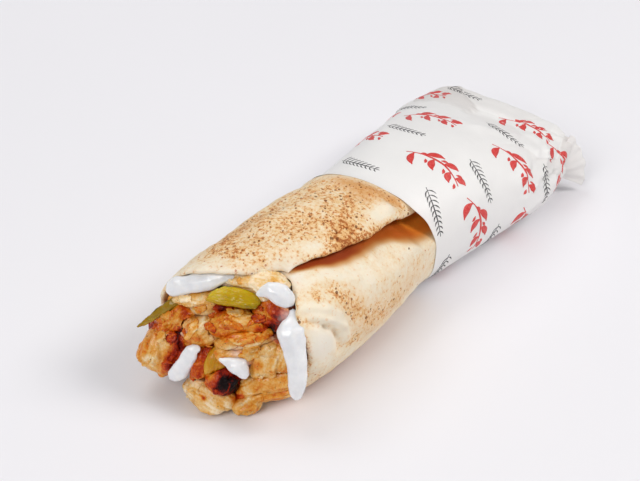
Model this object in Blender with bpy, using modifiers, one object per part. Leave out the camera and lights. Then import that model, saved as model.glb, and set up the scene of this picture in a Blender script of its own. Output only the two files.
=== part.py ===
"""A chicken doner wrap lying on its side in a paper sleeve.

A round of flatbread is rolled once and a bit around the filling. Its mouth looks toward -Y
and is cut aslant; the back half sits in a sleeve of paper that is folded shut at +Y.
Sizes below are in millimetres, and the meshes are made in metres.
"""

import math

import bmesh
import bpy
from mathutils import Vector

MM = 0.001

# The roll, from the mouth to the folded end of the sleeve:
# place along the wrap, centre x, half width, half height, how square its top is.
ROLL = [
    (-95, -1.6, 31.8, 28.4, 2.4),
    (-62, -1.5, 32.6, 28.9, 2.4),
    (-30, -2.2, 32.3, 28.7, 2.4),
    (-8, -3.8, 30.5, 26.8, 2.4),
    (4, -4.9, 29.3, 25.0, 2.4),
    (18, -5.0, 30.6, 24.9, 2.4),
    (38, -5.4, 33.2, 24.3, 2.4),
    (58, -6.2, 35.6, 22.2, 2.5),
    (78, -8.4, 38.4, 19.2, 2.7),
    (92, -10.8, 38.6, 16.5, 3.1),
    (104, -12.0, 35.6, 15.1, 3.8),
    (112, -11.0, 33.2, 14.4, 4.2),
    (116, -9.6, 30.2, 12.4, 4.0),
]
BASE_SQUARENESS = 2.35
FLAT_BASE = 0.985          # share of the half height at which the underside is flat
LIFT_Y = (-16, -6)         # the stretch over which the roll rises onto the paper

# The flatbread.
BREAD_THICKNESS = 2.2
BREAD_GAP = 0.9            # air between the two layers where they lap
BREAD_ROWS = 12
BREAD_COLUMNS = 40
BREAD_END = 92
INNER_EDGE = 150           # degrees: where the hidden inner edge of the bread lies
FLAP_EDGE = [(-80, 76), (-62, 73), (-45, 62), (-26, 53.5), (-10, 51), (3, 45), (95, 45)]
EMERGE = [(-80, 74), (-45, 56), (-10, 40), (95, 40)]    # degrees to come out to full radius
POCKET = [(-64, 0), (-40, 2.5), (-20, 6.5), (2, 11), (14, 11), (40, 4), (60, 0)]    # how deep
POCKET_SLOPE = 0.8         # share of the hidden layer over which the pocket deepens
MOUTH_Y = -82.5
MOUTH_SLANT = 7.5
UNDERCUT = 5               # how far the mouth is cut back underneath
NOTCH_DEPTH = 17.5         # how far the mouth is cut back at the corner of the flap
NOTCH_ANGLE = 76
NOTCH_WIDTHS = (29, 13)    # degrees, on the open side and on the flap's side
HIDDEN_MOUTH_Y = -61       # where the inner layer begins under the flap
HIDDEN_FADE = 15           # degrees over which the mouth's edge runs back to that
EDGE_PASSES = 4            # passes that settle where the slanted edges of the sheet lie

# The paper sleeve.
PAPER_THICKNESS = 0.5
PAPER_EASE = 1.15          # from the bread's outer face to the paper's outer face
PAPER_EDGE_Y = 1.5
PAPER_EDGE_SLANT = 6.5
PAPER_EDGE_TURN = 20       # degrees by which that slant is turned round the wrap
PAPER_EDGE_LIFT = 0.5      # how far the open edge stands off, fading over the next stretch
PAPER_EDGE_FADE = 14
PAPER_END = 116
PAPER_END_BULGE = 1
PAPER_ROWS_FORWARD = 0.8   # below 1, the rows of the mesh crowd toward the folded end
FOLD_DEPTH = (0.3, 1.4)    # at the open edge and at the folded end
FOLD_STRETCH = (20, 100)   # where along the wrap the folds deepen
FOLD_WAVES = ((1.0, 3, 0.05, 0.0), (0.6, 7, -0.09, 1.3))    # size, waves round, turn per mm, start
TAIL_ROOT = Vector((21, 100, 14))
TAIL_TURN = math.radians(66)    # the loose fan at the end points this far round from +X
TAIL_SPREAD = (-30, 56)         # degrees below and above level
TAIL_ROOT_HEIGHT = 3
TAIL_REACH = 18
TAIL_RAGGEDNESS = 0.08
TAIL_RAGS = 5              # radians of a wave along the fan's edge
TAIL_PLEAT = 0.8

# The filling inside the bread.
CORE_START = -78
CORE_END = 86
CORE_INSET = 6.6
CORE_AXIS = 0.8            # height of its middle, as a share of the roll's centre line
CORE_FRONT = 0.62          # size of its first section, as a share of the full one
CORE_DOME = 0.1            # share of its length over which it reaches the full section
CORE_BACK = 0.65           # size of its last section
CORE_TAPER = 0.15          # share of its length over which it narrows to that
CORE_NOSE = 2
POCKET_SIDES = ((-5, 25), (165, 125))    # degrees between which the core makes room for the pocket

# The mouth's own frame: pieces of filling are placed to the right, up and out from here.
MOUTH = Vector((-5, -86, 28))
MOUTH_TURN = math.radians(39)
MOUTH_TILT = math.radians(37)
RIGHT = Vector((math.cos(MOUTH_TURN), math.sin(MOUTH_TURN), 0))
OUT = Vector((
    math.sin(MOUTH_TURN) * math.cos(MOUTH_TILT),
    -math.cos(MOUTH_TURN) * math.cos(MOUTH_TILT),
    math.sin(MOUTH_TILT),
))
UP = OUT.cross(RIGHT)

# A piece's three rings, from its back to its face: share of the outline, share of the depth.
PIECE_RINGS = ((0.7, 1.0), (1.06, 0.45), (0.8, 0.0))
CORNER_SPREAD = 0.32       # how far a corner is pushed out before the rounding draws it in
RUN_TIP = 0.6              # how far a run's rounded end reaches, in half widths

CLEARANCE = 0.45           # kept between neighbouring pieces
CORNERS_KEPT = 0.22        # how sharp the chicken's cut corners stay
FLOOR_CLEARANCE = 0.6
FLOOR_GIVE = 0.04          # how far a piece pressed on the floor still follows its own shape

# Sauce: runs that narrow at both ends. Each point is right, up, out, half width.
SAUCE = {
    "sauce_top_left": [
        (-20, 17.2, 1, 1.8), (-17, 18.6, 3, 3.7), (-10.5, 20.4, 6, 3.7), (-4, 21.4, 8, 3.2),
        (1, 22.4, 9, 1.9), (4.6, 22.8, 9, 0.9),
    ],
    "sauce_top_right": [
        (13.2, 16.4, 12.5, 1.1), (17.4, 17.8, 13.5, 3.3), (22.2, 16, 13.5, 4.3), (25.4, 13.4, 12.5, 2.6),
    ],
    "sauce_drip": [
        (25.6, 10.4, 12, 1.1), (25.4, 7.8, 13, 2.4), (24.8, 4, 14, 4.9), (26.2, -1.5, 13.5, 4.6),
        (27.4, -7.5, 12.5, 3.9), (27.8, -13.5, 10.5, 3.4), (27.6, -18.5, 8, 2.9), (27.3, -21.3, 6.5, 1.7),
    ],
    "sauce_lower_left": [
        (-8, -3.2, 4, 1.2), (-11, -4.5, 3, 2.4), (-13, -8.5, 0, 3.1), (-16, -12.5, -3, 3.3),
        (-18.8, -14.6, -5, 1.9),
    ],
    "sauce_centre": [
        (-0.6, -7.4, 6, 0.8), (3.2, -8.8, 6.5, 2.2), (6.8, -10, 6.5, 3.4), (8.6, -13.6, 5.5, 1.7),
    ],
}
SAUCE_FLATNESS = 0.6

# The long pickle's run in the same terms, and how deep it is for its width.
PICKLE_SPEAR = [
    (-32, 3.8, -8, 0.35), (-27.5, 6.6, -6, 1.1), (-22, 10.6, -3, 1.6), (-16.5, 14.2, -0.5, 1.5),
    (-12, 16.6, -3, 1.0),
]
SPEAR_FLATNESS = 0.7

# Pieces cut from an outline: corners to the right and up, the place of the front face,
# its rise per millimetre to the right and up, the depth behind it, and how far it bulges.
PICKLES = {
    "pickle_slice": (
        [(-5, 13.8), (-1.5, 18.8), (5, 20), (14.5, 16.4), (12.5, 10.6), (3.5, 11.8)],
        12.3, (0.0, -0.25), 3.4, 0.4,
    ),
    "pickle_wedge": (
        [(-6.6, -13), (-5.2, -7), (-2, -2.6), (0.2, -8), (1.8, -9.8), (-2.4, -12)],
        3.6, (0.1, 0.1), 4.5, 0.2,
    ),
}
CHICKEN = {
    "chicken_char": (
        [(-7, -14.5), (-2.5, -10.5), (2.2, -9.4), (6.4, -14), (5.4, -19), (-0.8, -21), (-4.4, -18.6)],
        2.6, (0.0, 0.1), 11, 1.6,
    ),
    "chicken_crown": (
        [(2.8, 21.6), (5.2, 25.6), (12.5, 27), (19, 25.4), (26, 20), (21, 14.5), (13, 14.6),
         (8, 18)],
        10.6, (0.05, -0.3), 13, 1.2,
    ),
    "chicken_crust": (
        [(10.5, 10.4), (15, 15), (20.4, 14.6), (27, 12), (25.4, 5.6), (19.8, 1.6), (14.6, 6)],
        10.4, (0.1, 0.1), 11, 1.0,
    ),
    "chicken_fold": (
        [(5.6, -15.6), (14, -13), (27, -11.2), (27, -18), (14, -20.4), (4.6, -23.6)],
        0.6, (0.12, 0.35), 13, 1.2,
    ),
    "chicken_cheek": (
        [(12.2, -5), (15.8, -0.6), (21.2, -0.4), (27, -4), (27.4, -12), (18, -13.6), (11, -14.2),
         (10.6, -9)],
        6.8, (0.25, 0.2), 13, 1.4,
    ),
    "chicken_heel": (
        [(3.8, -22.4), (9, -21.2), (14.6, -21.0), (13.8, -27.0), (9.2, -31.2), (4.0, -30.6)],
        -5.0, (0.1, 0.0), 10, 1.0,
    ),
    "chicken_fold_low": (
        [(4.8, -23.4), (14, -20), (26.4, -17.4), (26, -21.6), (13, -24), (5.4, -25)],
        -3.2, (0.12, 0.3), 11, 0.8,
    ),
    "chicken_band_mid": (
        [(-2, -1), (5, 3.8), (13, 2.4), (21, 1.2), (14, -3), (5, -4.6), (-1.4, -3)],
        8.6, (0.0, 0.35), 11, 1.0,
    ),
    "chicken_band_top": (
        [(-5.4, 4.6), (-1, 8.8), (5, 11), (12.4, 10), (20.6, 1.8), (9, 3), (-1.4, 1)],
        9.6, (0.0, 0.15), 12, 1.4,
    ),
    "chicken_band_low": (
        [(-3.4, -4.4), (3, -3), (13.4, -3.2), (12.4, -7.4), (9, -9.4), (-1.2, -8.4)],
        6.2, (0.0, 0.1), 10, 0.8,
    ),
    "chicken_cube": (
        [(-14.6, 6.4), (-8, 9.6), (-2.6, 7.8), (-3.4, 2), (-0.6, -1), (-9, -3.6), (-13, -1.8)],
        5.4, (0.2, 0.1), 12, 1.6,
    ),
    "chicken_base": (
        [(-15.4, -18.4), (-11, -14.2), (-5.6, -15.6), (-1.6, -19.4), (5, -20.6), (4.6, -25.6),
         (-1.6, -31), (-8.8, -30.4), (-12, -23.6)],
        -3.0, (0.15, 0.2), 13, 1.4,
    ),
    "chicken_slab": (
        [(-32.4, -7.8), (-28, -0.6), (-24, 4.2), (-13, 2), (-12.4, -4), (-16, -9.6), (-23, -14.8)],
        -5.2, (0.35, 0.15), 12, 1.4,
    ),
    "chicken_lobe": (
        [(-24, 9), (-17.6, 13), (-12.4, 12), (-7.6, 9), (-13, 5.8), (-13.6, 1.6), (-23, 3.2)],
        0.2, (0.4, 0.1), 13, 1.4,
    ),
    "chicken_rim": (
        [(-28.4, -1.4), (-26.8, 5.4), (-23.6, 9), (-19.6, 6), (-21, 0.6)],
        -9.4, (0.3, 0.0), 10, 0.6,
    ),
    "chicken_shelf": (
        [(-19.4, 14.2), (-15, 17.4), (-9, 18.4), (-1, 18), (-0.4, 12.4), (-4, 8.6), (-9, 9),
         (-13, 11.4)],
        6.0, (0.3, -0.1), 13, 1.2,
    ),
    "chicken_sliver": (
        [(-8.4, -3.2), (-2.4, -1), (-4.6, -6), (-6, -15.4), (-12, -15), (-9.8, -8)],
        1.4, (0.15, 0.1), 9, 0.8,
    ),
    "chicken_flake": (
        [(-4, 8.6), (-1, 13), (6.8, 12), (5.6, 9.2), (0.6, 8)],
        6.0, (0.1, 0.0), 8, 0.6,
    ),
}

# Colours (linear), roughness.
BREAD_LOOK = ((0.72, 0.55, 0.35), 0.75)
PAPER_LOOK = ((0.86, 0.84, 0.82), 0.6)
SAUCE_LOOK = ((0.80, 0.80, 0.78), 0.25)
CORE_LOOK = ((0.30, 0.14, 0.05), 0.6)
PALE_CHICKEN = ((0.62, 0.36, 0.13), 0.45)
PICKLE_LOOKS = {
    "pickle_slice": ((0.42, 0.30, 0.03), 0.3),
    "pickle_wedge": ((0.42, 0.20, 0.01), 0.3),
    "pickle_spear": ((0.28, 0.14, 0.01), 0.35),
}
CHICKEN_LOOKS = {
    "chicken_char": ((0.11, 0.02, 0.012), 0.5),
    "chicken_crust": ((0.38, 0.12, 0.03), 0.5),
    "chicken_lobe": ((0.52, 0.13, 0.01), 0.4),
    "chicken_rim": ((0.30, 0.06, 0.02), 0.5),
    "chicken_sliver": ((0.45, 0.14, 0.05), 0.45),
    "chicken_flake": ((0.28, 0.10, 0.03), 0.5),
    "chicken_band_top": ((0.46, 0.16, 0.03), 0.4),
    "chicken_band_mid": ((0.62, 0.28, 0.08), 0.4),
    "chicken_heel": ((0.35, 0.09, 0.01), 0.45),
}


# ---------------------------------------------------------------- numbers and curves

def smooth(t):
    """0 below 0, 1 above 1, and an easy slope between them."""
    t = min(max(t, 0.0), 1.0)
    return t * t * (3 - 2 * t)


def glide(table, place):
    """The values of a table of stations at a place, along a smooth curve through them."""
    if place <= table[0][0]:
        return table[0][1:]
    if place >= table[-1][0]:
        return table[-1][1:]
    i = max(k for k in range(len(table) - 1) if table[k][0] <= place)
    before, start, stop = table[max(i - 1, 0)], table[i], table[i + 1]
    after = table[min(i + 2, len(table) - 1)]
    span = stop[0] - start[0]
    t = (place - start[0]) / span
    values = []
    for k in range(1, len(start)):
        slope_in = span * (stop[k] - before[k]) / (stop[0] - before[0])
        slope_out = span * (after[k] - start[k]) / (after[0] - start[0])
        values.append(
            (2 * t**3 - 3 * t**2 + 1) * start[k] + (t**3 - 2 * t**2 + t) * slope_in
            + (3 * t**2 - 2 * t**3) * stop[k] + (t**3 - t**2) * slope_out
        )
    return values


def roll_height(y):
    """The height of the roll's centre line, with its flat base on the floor or the paper."""
    lift = PAPER_EASE * smooth((y - LIFT_Y[0]) / (LIFT_Y[1] - LIFT_Y[0]))
    return lift + FLAT_BASE * glide(ROLL, y)[2]


def roll_point(y, degrees, inward):
    """A point of the wrap's section at y, moved toward its centre line by inward."""
    centre_x, half_width, half_height, top_squareness = glide(ROLL, y)
    centre_z = roll_height(y)
    angle = math.radians(degrees)
    c, s = math.cos(angle), math.sin(angle)
    power = 2 / (top_squareness if s >= 0 else BASE_SQUARENESS)
    x = half_width * math.copysign(abs(c) ** power, c)
    z = half_height * max(math.copysign(abs(s) ** power, s), -FLAT_BASE)
    scale = 1 - inward / math.hypot(x, z)
    return Vector((centre_x + x * scale, y, centre_z + z * scale))


def rest_on_floor(point):
    """The point, or where it would be pressed to if it lies below the floor."""
    if point.z < FLOOR_CLEARANCE:
        return Vector((point.x, point.y, FLOOR_CLEARANCE + (point.z - FLOOR_CLEARANCE) * FLOOR_GIVE))
    return point


def mouth_point(right, up, out):
    """A point given in the mouth's own frame."""
    return MOUTH + RIGHT * right + UP * up + OUT * out


# ---------------------------------------------------------------- objects and modifiers

def clear_scene():
    for thing in list(bpy.data.objects):
        bpy.data.objects.remove(thing)


def new_collection(name):
    collection = bpy.data.collections.new(name)
    bpy.context.scene.collection.children.link(collection)
    return collection


def new_material(name, colour, roughness):
    material = bpy.data.materials.new(name)
    material.use_nodes = True
    shader = material.node_tree.nodes["Principled BSDF"]
    shader.inputs["Base Color"].default_value = (*colour, 1)
    shader.inputs["Roughness"].default_value = roughness
    shader.inputs["Metallic"].default_value = 0
    return material


def new_object(name, points, faces, collection, look=None):
    """A smooth mesh object from points in millimetres, its faces turned to point out."""
    mesh = bpy.data.meshes.new(name)
    mesh.from_pydata([point * MM for point in points], [], faces)
    thing = bpy.data.objects.new(name, mesh)
    collection.objects.link(thing)
    mesh.shade_smooth()
    if look:
        mesh.materials.append(new_material(name, *look))
    return thing


def face_outward(thing):
    work = bmesh.new()
    work.from_mesh(thing.data)
    bmesh.ops.recalc_face_normals(work, faces=work.faces)
    work.to_mesh(thing.data)
    work.free()


def add_subdivision(thing, levels):
    """Round a coarse cage, but keep some of its corners."""
    crease = thing.data.attributes.new("crease_edge", "FLOAT", "EDGE")
    for edge in crease.data:
        edge.value = CORNERS_KEPT
    modifier = thing.modifiers.new("round", "SUBSURF")
    modifier.levels = levels
    modifier.render_levels = levels


def add_growth(thing, distance):
    modifier = thing.modifiers.new("grow", "DISPLACE")
    modifier.strength = distance * MM
    modifier.mid_level = 0


def add_thickness(thing, thickness):
    """Thicken an open sheet on its inner side."""
    modifier = thing.modifiers.new("thickness", "SOLIDIFY")
    modifier.thickness = thickness * MM
    modifier.offset = -1


def add_cut(thing, cutter):
    modifier = thing.modifiers.new("clear of " + cutter.name, "BOOLEAN")
    modifier.operation = "DIFFERENCE"
    modifier.solver = "EXACT"
    modifier.object = cutter


def hide_cutter(cutter):
    cutter.hide_render = True
    cutter.display_type = "WIRE"


# ---------------------------------------------------------------- closed forms

def grid_faces(rows, columns, closed):
    """Quads between neighbouring points of a grid that is stored row by row."""
    faces = []
    for row in range(rows - 1):
        for column in range(columns if closed else columns - 1):
            following = (column + 1) % columns
            faces.append((
                row * columns + column, row * columns + following,
                (row + 1) * columns + following, (row + 1) * columns + column,
            ))
    return faces


def closed_loft(rings, first_centre, last_centre):
    """Points and faces of a body through rings, each end drawn in to a centre point."""
    columns = len(rings[0])
    points = [point for ring in rings for point in ring]
    faces = grid_faces(len(rings), columns, closed=True)
    last = (len(rings) - 1) * columns
    for column in range(columns):
        following = (column + 1) % columns
        faces.append((following, column, len(points)))
        faces.append((last + column, last + following, len(points) + 1))
    return points + [first_centre, last_centre], faces


def spread_corners(outline):
    """Push an outline's corners out, so that the rounded piece still reaches them."""
    spread = []
    for i, corner in enumerate(outline):
        between = (Vector(outline[i - 1]) + Vector(outline[(i + 1) % len(outline)])) / 2
        spread.append(Vector(corner) + (Vector(corner) - between) * CORNER_SPREAD)
    return spread


def piece_form(outline, front, rise, depth, bulge):
    """The coarse cage of a piece of filling: its outline drawn out through three rings."""
    outline = spread_corners(outline)
    centre = sum(outline, Vector((0, 0))) / len(outline)
    rings = []
    for size, sink in PIECE_RINGS:
        ring = []
        for corner in outline:
            offset = (corner - centre) * size
            out = front + offset.dot(Vector(rise)) - depth * sink
            ring.append(mouth_point(centre.x + offset.x, centre.y + offset.y, out))
        rings.append(ring)
    back = mouth_point(centre.x, centre.y, front - depth)
    face = mouth_point(centre.x, centre.y, front + bulge)
    return closed_loft(rings, back, face)


def run_form(run, flatness, sides=8, steps=2):
    """A rounded run of varying width along points given in the mouth's frame."""
    table = [(i, *point) for i, point in enumerate(run)]
    count = (len(run) - 1) * steps + 1
    stations = [glide(table, i / steps) for i in range(count)]
    rings = []
    for i, (right, up, out, half_width) in enumerate(stations):
        ahead, behind = stations[min(i + 1, count - 1)], stations[max(i - 1, 0)]
        along = Vector((ahead[0] - behind[0], ahead[1] - behind[1])).normalized()
        ring = []
        for k in range(sides):
            angle = 2 * math.pi * k / sides
            aside = half_width * math.cos(angle)
            lift = half_width * flatness * math.sin(angle)
            ring.append(mouth_point(right - along.y * aside, up + along.x * aside, out + lift))
        rings.append(ring)
    ends = []
    for (right, up, out, half_width), inner in ((stations[0], stations[1]), (stations[-1], stations[-2])):
        away = Vector((right - inner[0], up - inner[1])).normalized() * half_width * RUN_TIP
        ends.append(mouth_point(right + away.x, up + away.y, out))
    return closed_loft(rings, *ends)


# ---------------------------------------------------------------- the flatbread

def mouth_edge(turn):
    """Where the bread begins, for an angle rolled from its hidden inner edge."""
    degrees = INNER_EDGE - turn
    if degrees < -180:
        degrees += 360
    away = degrees - NOTCH_ANGLE
    width = NOTCH_WIDTHS[1] if away > 0 else NOTCH_WIDTHS[0]
    y = MOUTH_Y + MOUTH_SLANT * math.cos(math.radians(degrees))
    y += UNDERCUT * max(-math.sin(math.radians(degrees)), 0)
    y += NOTCH_DEPTH * math.exp(-((away / width) ** 2))
    hidden = smooth((INNER_EDGE - NOTCH_ANGLE - turn) / HIDDEN_FADE)
    return y + (HIDDEN_MOUTH_Y - y) * hidden


def bread_sheet(collection, name, grow=0.0, look=None):
    """The rolled sheet of bread, thickened inward; grow makes it larger on all sides."""
    rows, columns = BREAD_ROWS, BREAD_COLUMNS
    points = []
    for row in range(rows):
        for column in range(columns):
            y = MOUTH_Y
            for _ in range(EDGE_PASSES):
                edge = glide(FLAP_EDGE, y)[0]
                turn = (INNER_EDGE - edge + 360) * column / (columns - 1)
                start = mouth_edge(turn) - grow
                y = start + (BREAD_END + grow - start) * row / (rows - 1)
            covered = INNER_EDGE - edge
            emerge = glide(EMERGE, y)[0]
            under = smooth((covered + emerge - turn) / emerge)
            dip = glide(POCKET, y)[0] * smooth(turn / (POCKET_SLOPE * covered))
            inward = under * (BREAD_THICKNESS + BREAD_GAP + dip)
            points.append(roll_point(y, INNER_EDGE - turn, inward - grow))
    sheet = new_object(name, points, grid_faces(rows, columns, closed=False), collection, look)
    add_thickness(sheet, BREAD_THICKNESS + 2 * grow)
    return sheet


# ---------------------------------------------------------------- the paper sleeve

def paper_folds(degrees, y):
    """Soft folds that stand out from the bread, deeper toward the folded end."""
    along = math.radians(degrees)
    start, stop = FOLD_STRETCH
    depth = FOLD_DEPTH[0] + (FOLD_DEPTH[1] - FOLD_DEPTH[0]) * smooth((y - start) / (stop - start))
    wave = sum(size * math.sin(count * along + turn * y + shift) for size, count, turn, shift in FOLD_WAVES)
    tallest = sum(size for size, *_ in FOLD_WAVES)
    return depth * (wave + tallest) / (2 * tallest)


def paper_tail(collection, rows=4, columns=9):
    """The pleated fan of loose paper at the folded end, rooted inside the sleeve."""
    away = Vector((math.cos(TAIL_TURN), math.sin(TAIL_TURN), 0))
    aside = Vector((away.y, -away.x, 0))
    points = []
    for row in range(rows):
        reach = TAIL_REACH * (row / (rows - 1))
        for column in range(columns):
            share = column / (columns - 1)
            angle = math.radians(TAIL_SPREAD[0] + (TAIL_SPREAD[1] - TAIL_SPREAD[0]) * share)
            pleat = aside * (TAIL_PLEAT * math.cos(math.pi * column) * row / (rows - 1))
            edge = 1 + TAIL_RAGGEDNESS * math.sin(TAIL_RAGS * share + 1)
            root = Vector((0, 0, TAIL_ROOT_HEIGHT * (share - 0.5)))
            ray = away * math.cos(angle) + Vector((0, 0, math.sin(angle)))
            points.append(TAIL_ROOT + root + ray * reach * edge + pleat)
    tail = new_object("tail", points, grid_faces(rows, columns, closed=False), collection)
    add_thickness(tail, PAPER_THICKNESS)
    hide_cutter(tail)
    return tail


def paper_sleeve(collection, cutters, rows=12, columns=32):
    points = []
    for row in range(rows):
        for column in range(columns):
            degrees = 180 - 360 * column / columns
            slant = PAPER_EDGE_SLANT * math.cos(math.radians(degrees + PAPER_EDGE_TURN))
            start = PAPER_EDGE_Y + slant
            y = start + (PAPER_END - start) * (row / (rows - 1)) ** PAPER_ROWS_FORWARD
            lift = PAPER_EDGE_LIFT * (1 - smooth((y - start) / PAPER_EDGE_FADE))
            folds = paper_folds(degrees, y) * smooth((y - start) / FOLD_STRETCH[0])
            point = roll_point(y, degrees, -(PAPER_EASE + lift + folds))
            point.z = max(point.z, 0.0)
            points.append(point)
    faces = grid_faces(rows, columns, closed=True)
    last = (rows - 1) * columns
    end_centre = Vector((ROLL[-1][1], PAPER_END + PAPER_END_BULGE, roll_height(PAPER_END)))
    for column in range(columns):
        faces.append((last + column, last + (column + 1) % columns, len(points)))
    sleeve = new_object("paper_sleeve", points + [end_centre], faces, collection, PAPER_LOOK)
    add_thickness(sleeve, PAPER_THICKNESS)
    join = sleeve.modifiers.new("join tail", "BOOLEAN")
    join.operation = "UNION"
    join.solver = "EXACT"
    join.object = paper_tail(cutters)
    return sleeve


# ---------------------------------------------------------------- the filling

def filling_core(collection, rows=9, columns=16):
    """The filling inside the roll, from behind the pieces at the mouth to the far end."""
    rings = []
    for row in range(rows):
        share = row / (rows - 1)
        dome = CORE_FRONT + (1 - CORE_FRONT) * math.sin(math.pi / 2 * min(share / CORE_DOME, 1))
        taper = 1 - (1 - CORE_BACK) * smooth((share - 1 + CORE_TAPER) / CORE_TAPER)
        ring = []
        for column in range(columns):
            degrees = 360 * column / columns
            y = CORE_START + (CORE_END - CORE_START) * share
            y += MOUTH_SLANT * math.cos(math.radians(degrees)) * (1 - share)
            under_flap = 1
            for outside, inside in POCKET_SIDES:
                under_flap *= smooth((degrees - outside) / (inside - outside))
            point = roll_point(y, degrees, CORE_INSET + glide(POCKET, y)[0] * under_flap)
            axis = Vector((glide(ROLL, y)[0], y, roll_height(y) * CORE_AXIS))
            ring.append(axis + (point - axis) * dome * taper)
        rings.append(ring)
    nose = Vector((0, CORE_NOSE, 0))
    front = sum(rings[0], Vector()) / columns - nose
    back = sum(rings[-1], Vector()) / columns + nose
    points, faces = closed_loft(rings, front, back)
    return new_object("filling_core", points, faces, collection, CORE_LOOK)


def reach(thing):
    """The lowest and highest corner of an object's own mesh, with room for its growth."""
    corners = [vertex.co for vertex in thing.data.vertices]
    margin = 2 * CLEARANCE * MM
    low = [min(corner[axis] for corner in corners) - margin for axis in range(3)]
    high = [max(corner[axis] for corner in corners) + margin for axis in range(3)]
    return low, high


def could_touch(one, other):
    (low, high), (other_low, other_high) = reach(one), reach(other)
    return all(low[axis] < other_high[axis] and other_low[axis] < high[axis] for axis in range(3))


def add_pieces(parts, cutters):
    """Sauce, pickles and chicken: each is cut clear of those before it, and of the bread."""
    forms = {name: (run_form(run, SAUCE_FLATNESS), SAUCE_LOOK, 0) for name, run in SAUCE.items()}
    forms["pickle_spear"] = (run_form(PICKLE_SPEAR, SPEAR_FLATNESS), PICKLE_LOOKS["pickle_spear"], 0)
    for name, shape in PICKLES.items():
        forms[name] = (piece_form(*shape), PICKLE_LOOKS[name], 1)
    for name, shape in CHICKEN.items():
        forms[name] = (piece_form(*shape), CHICKEN_LOOKS.get(name, PALE_CHICKEN), 1)

    bread_room = bread_sheet(cutters, "bread_room", grow=CLEARANCE)
    hide_cutter(bread_room)
    grown = []
    for name, ((points, faces), look, levels) in forms.items():
        points = [rest_on_floor(point) for point in points]
        piece = new_object(name, points, faces, parts, look)
        face_outward(piece)
        room = new_object(name + "_room", points, faces, cutters)
        face_outward(room)
        for thing in (piece, room):
            if levels:
                add_subdivision(thing, levels)
        add_growth(room, CLEARANCE)
        hide_cutter(room)
        for other in grown:
            if could_touch(piece, other):
                add_cut(piece, other)
        add_cut(piece, bread_room)
        grown.append(room)
    return grown


def stand_at_origin(collections):
    """Hang everything on one empty that puts the base's centre at the origin."""
    bpy.context.view_layer.update()
    depsgraph = bpy.context.evaluated_depsgraph_get()
    corners = []
    for thing in collections[0].objects:
        shape = thing.evaluated_get(depsgraph)
        corners += [shape.matrix_world @ vertex.co for vertex in shape.data.vertices]
    middle = [(min(c[k] for c in corners) + max(c[k] for c in corners)) / 2 for k in range(2)]
    base = bpy.data.objects.new("wrap", None)
    collections[0].objects.link(base)
    base.location = (-middle[0], -middle[1], -min(corner.z for corner in corners))
    for collection in collections:
        for thing in collection.objects:
            if thing is not base:
                thing.parent = base


def build():
    clear_scene()
    parts = new_collection("doner_wrap")
    cutters = new_collection("cutters")
    bread_sheet(parts, "flatbread", look=BREAD_LOOK)
    paper_sleeve(parts, cutters)
    grown = add_pieces(parts, cutters)
    core = filling_core(parts)
    face_outward(core)
    for room in grown:
        if could_touch(core, room):
            add_cut(core, room)
    stand_at_origin([parts, cutters])


build()
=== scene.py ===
"""The looks of a chicken doner wrap in a paper sleeve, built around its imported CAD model.

Lengths are in millimetres until a mesh is made. Two frames of reference are used: the wrap's
own, with y along the roll and an angle round it, and the mouth's, with right, up and out.
"""

import math
import random
from itertools import product

import bmesh
import bpy
import numpy as np
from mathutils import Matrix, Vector
from mathutils.bvhtree import BVHTree


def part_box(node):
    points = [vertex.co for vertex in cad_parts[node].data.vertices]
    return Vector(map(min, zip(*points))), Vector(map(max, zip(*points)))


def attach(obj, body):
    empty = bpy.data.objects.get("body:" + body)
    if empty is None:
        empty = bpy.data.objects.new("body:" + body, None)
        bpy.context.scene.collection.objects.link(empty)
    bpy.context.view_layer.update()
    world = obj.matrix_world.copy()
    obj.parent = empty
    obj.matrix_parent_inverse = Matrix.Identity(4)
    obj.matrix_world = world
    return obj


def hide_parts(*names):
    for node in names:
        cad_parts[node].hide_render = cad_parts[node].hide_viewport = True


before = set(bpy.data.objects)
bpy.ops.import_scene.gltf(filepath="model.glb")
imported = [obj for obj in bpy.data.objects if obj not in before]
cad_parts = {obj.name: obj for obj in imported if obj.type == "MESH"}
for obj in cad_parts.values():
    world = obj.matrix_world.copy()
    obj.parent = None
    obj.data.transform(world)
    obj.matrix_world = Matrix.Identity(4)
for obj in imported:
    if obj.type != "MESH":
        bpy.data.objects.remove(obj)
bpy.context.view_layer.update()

MM = 0.001

# The roll, as the CAD model has it: place along the wrap, centre x, half width, half height,
# how square its top is.
ROLL = [
    (-95, -1.6, 31.8, 28.4, 2.4), (-62, -1.5, 32.6, 28.9, 2.4), (-30, -2.2, 32.3, 28.7, 2.4),
    (-8, -3.8, 30.5, 26.8, 2.4), (4, -4.9, 29.3, 25.0, 2.4), (18, -5.0, 30.6, 24.9, 2.4),
    (38, -5.4, 33.2, 24.3, 2.4), (58, -6.2, 35.6, 22.2, 2.5), (78, -8.4, 38.4, 19.2, 2.7),
    (92, -10.8, 38.6, 16.5, 3.1), (104, -12.0, 35.6, 15.1, 3.8), (112, -11.0, 33.2, 14.4, 4.2),
    (116, -9.6, 30.2, 12.4, 4.0),
]
BASE_SQUARENESS = 2.35
FLAT_BASE = 0.985
LIFT_Y = (-16, -6)

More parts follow.
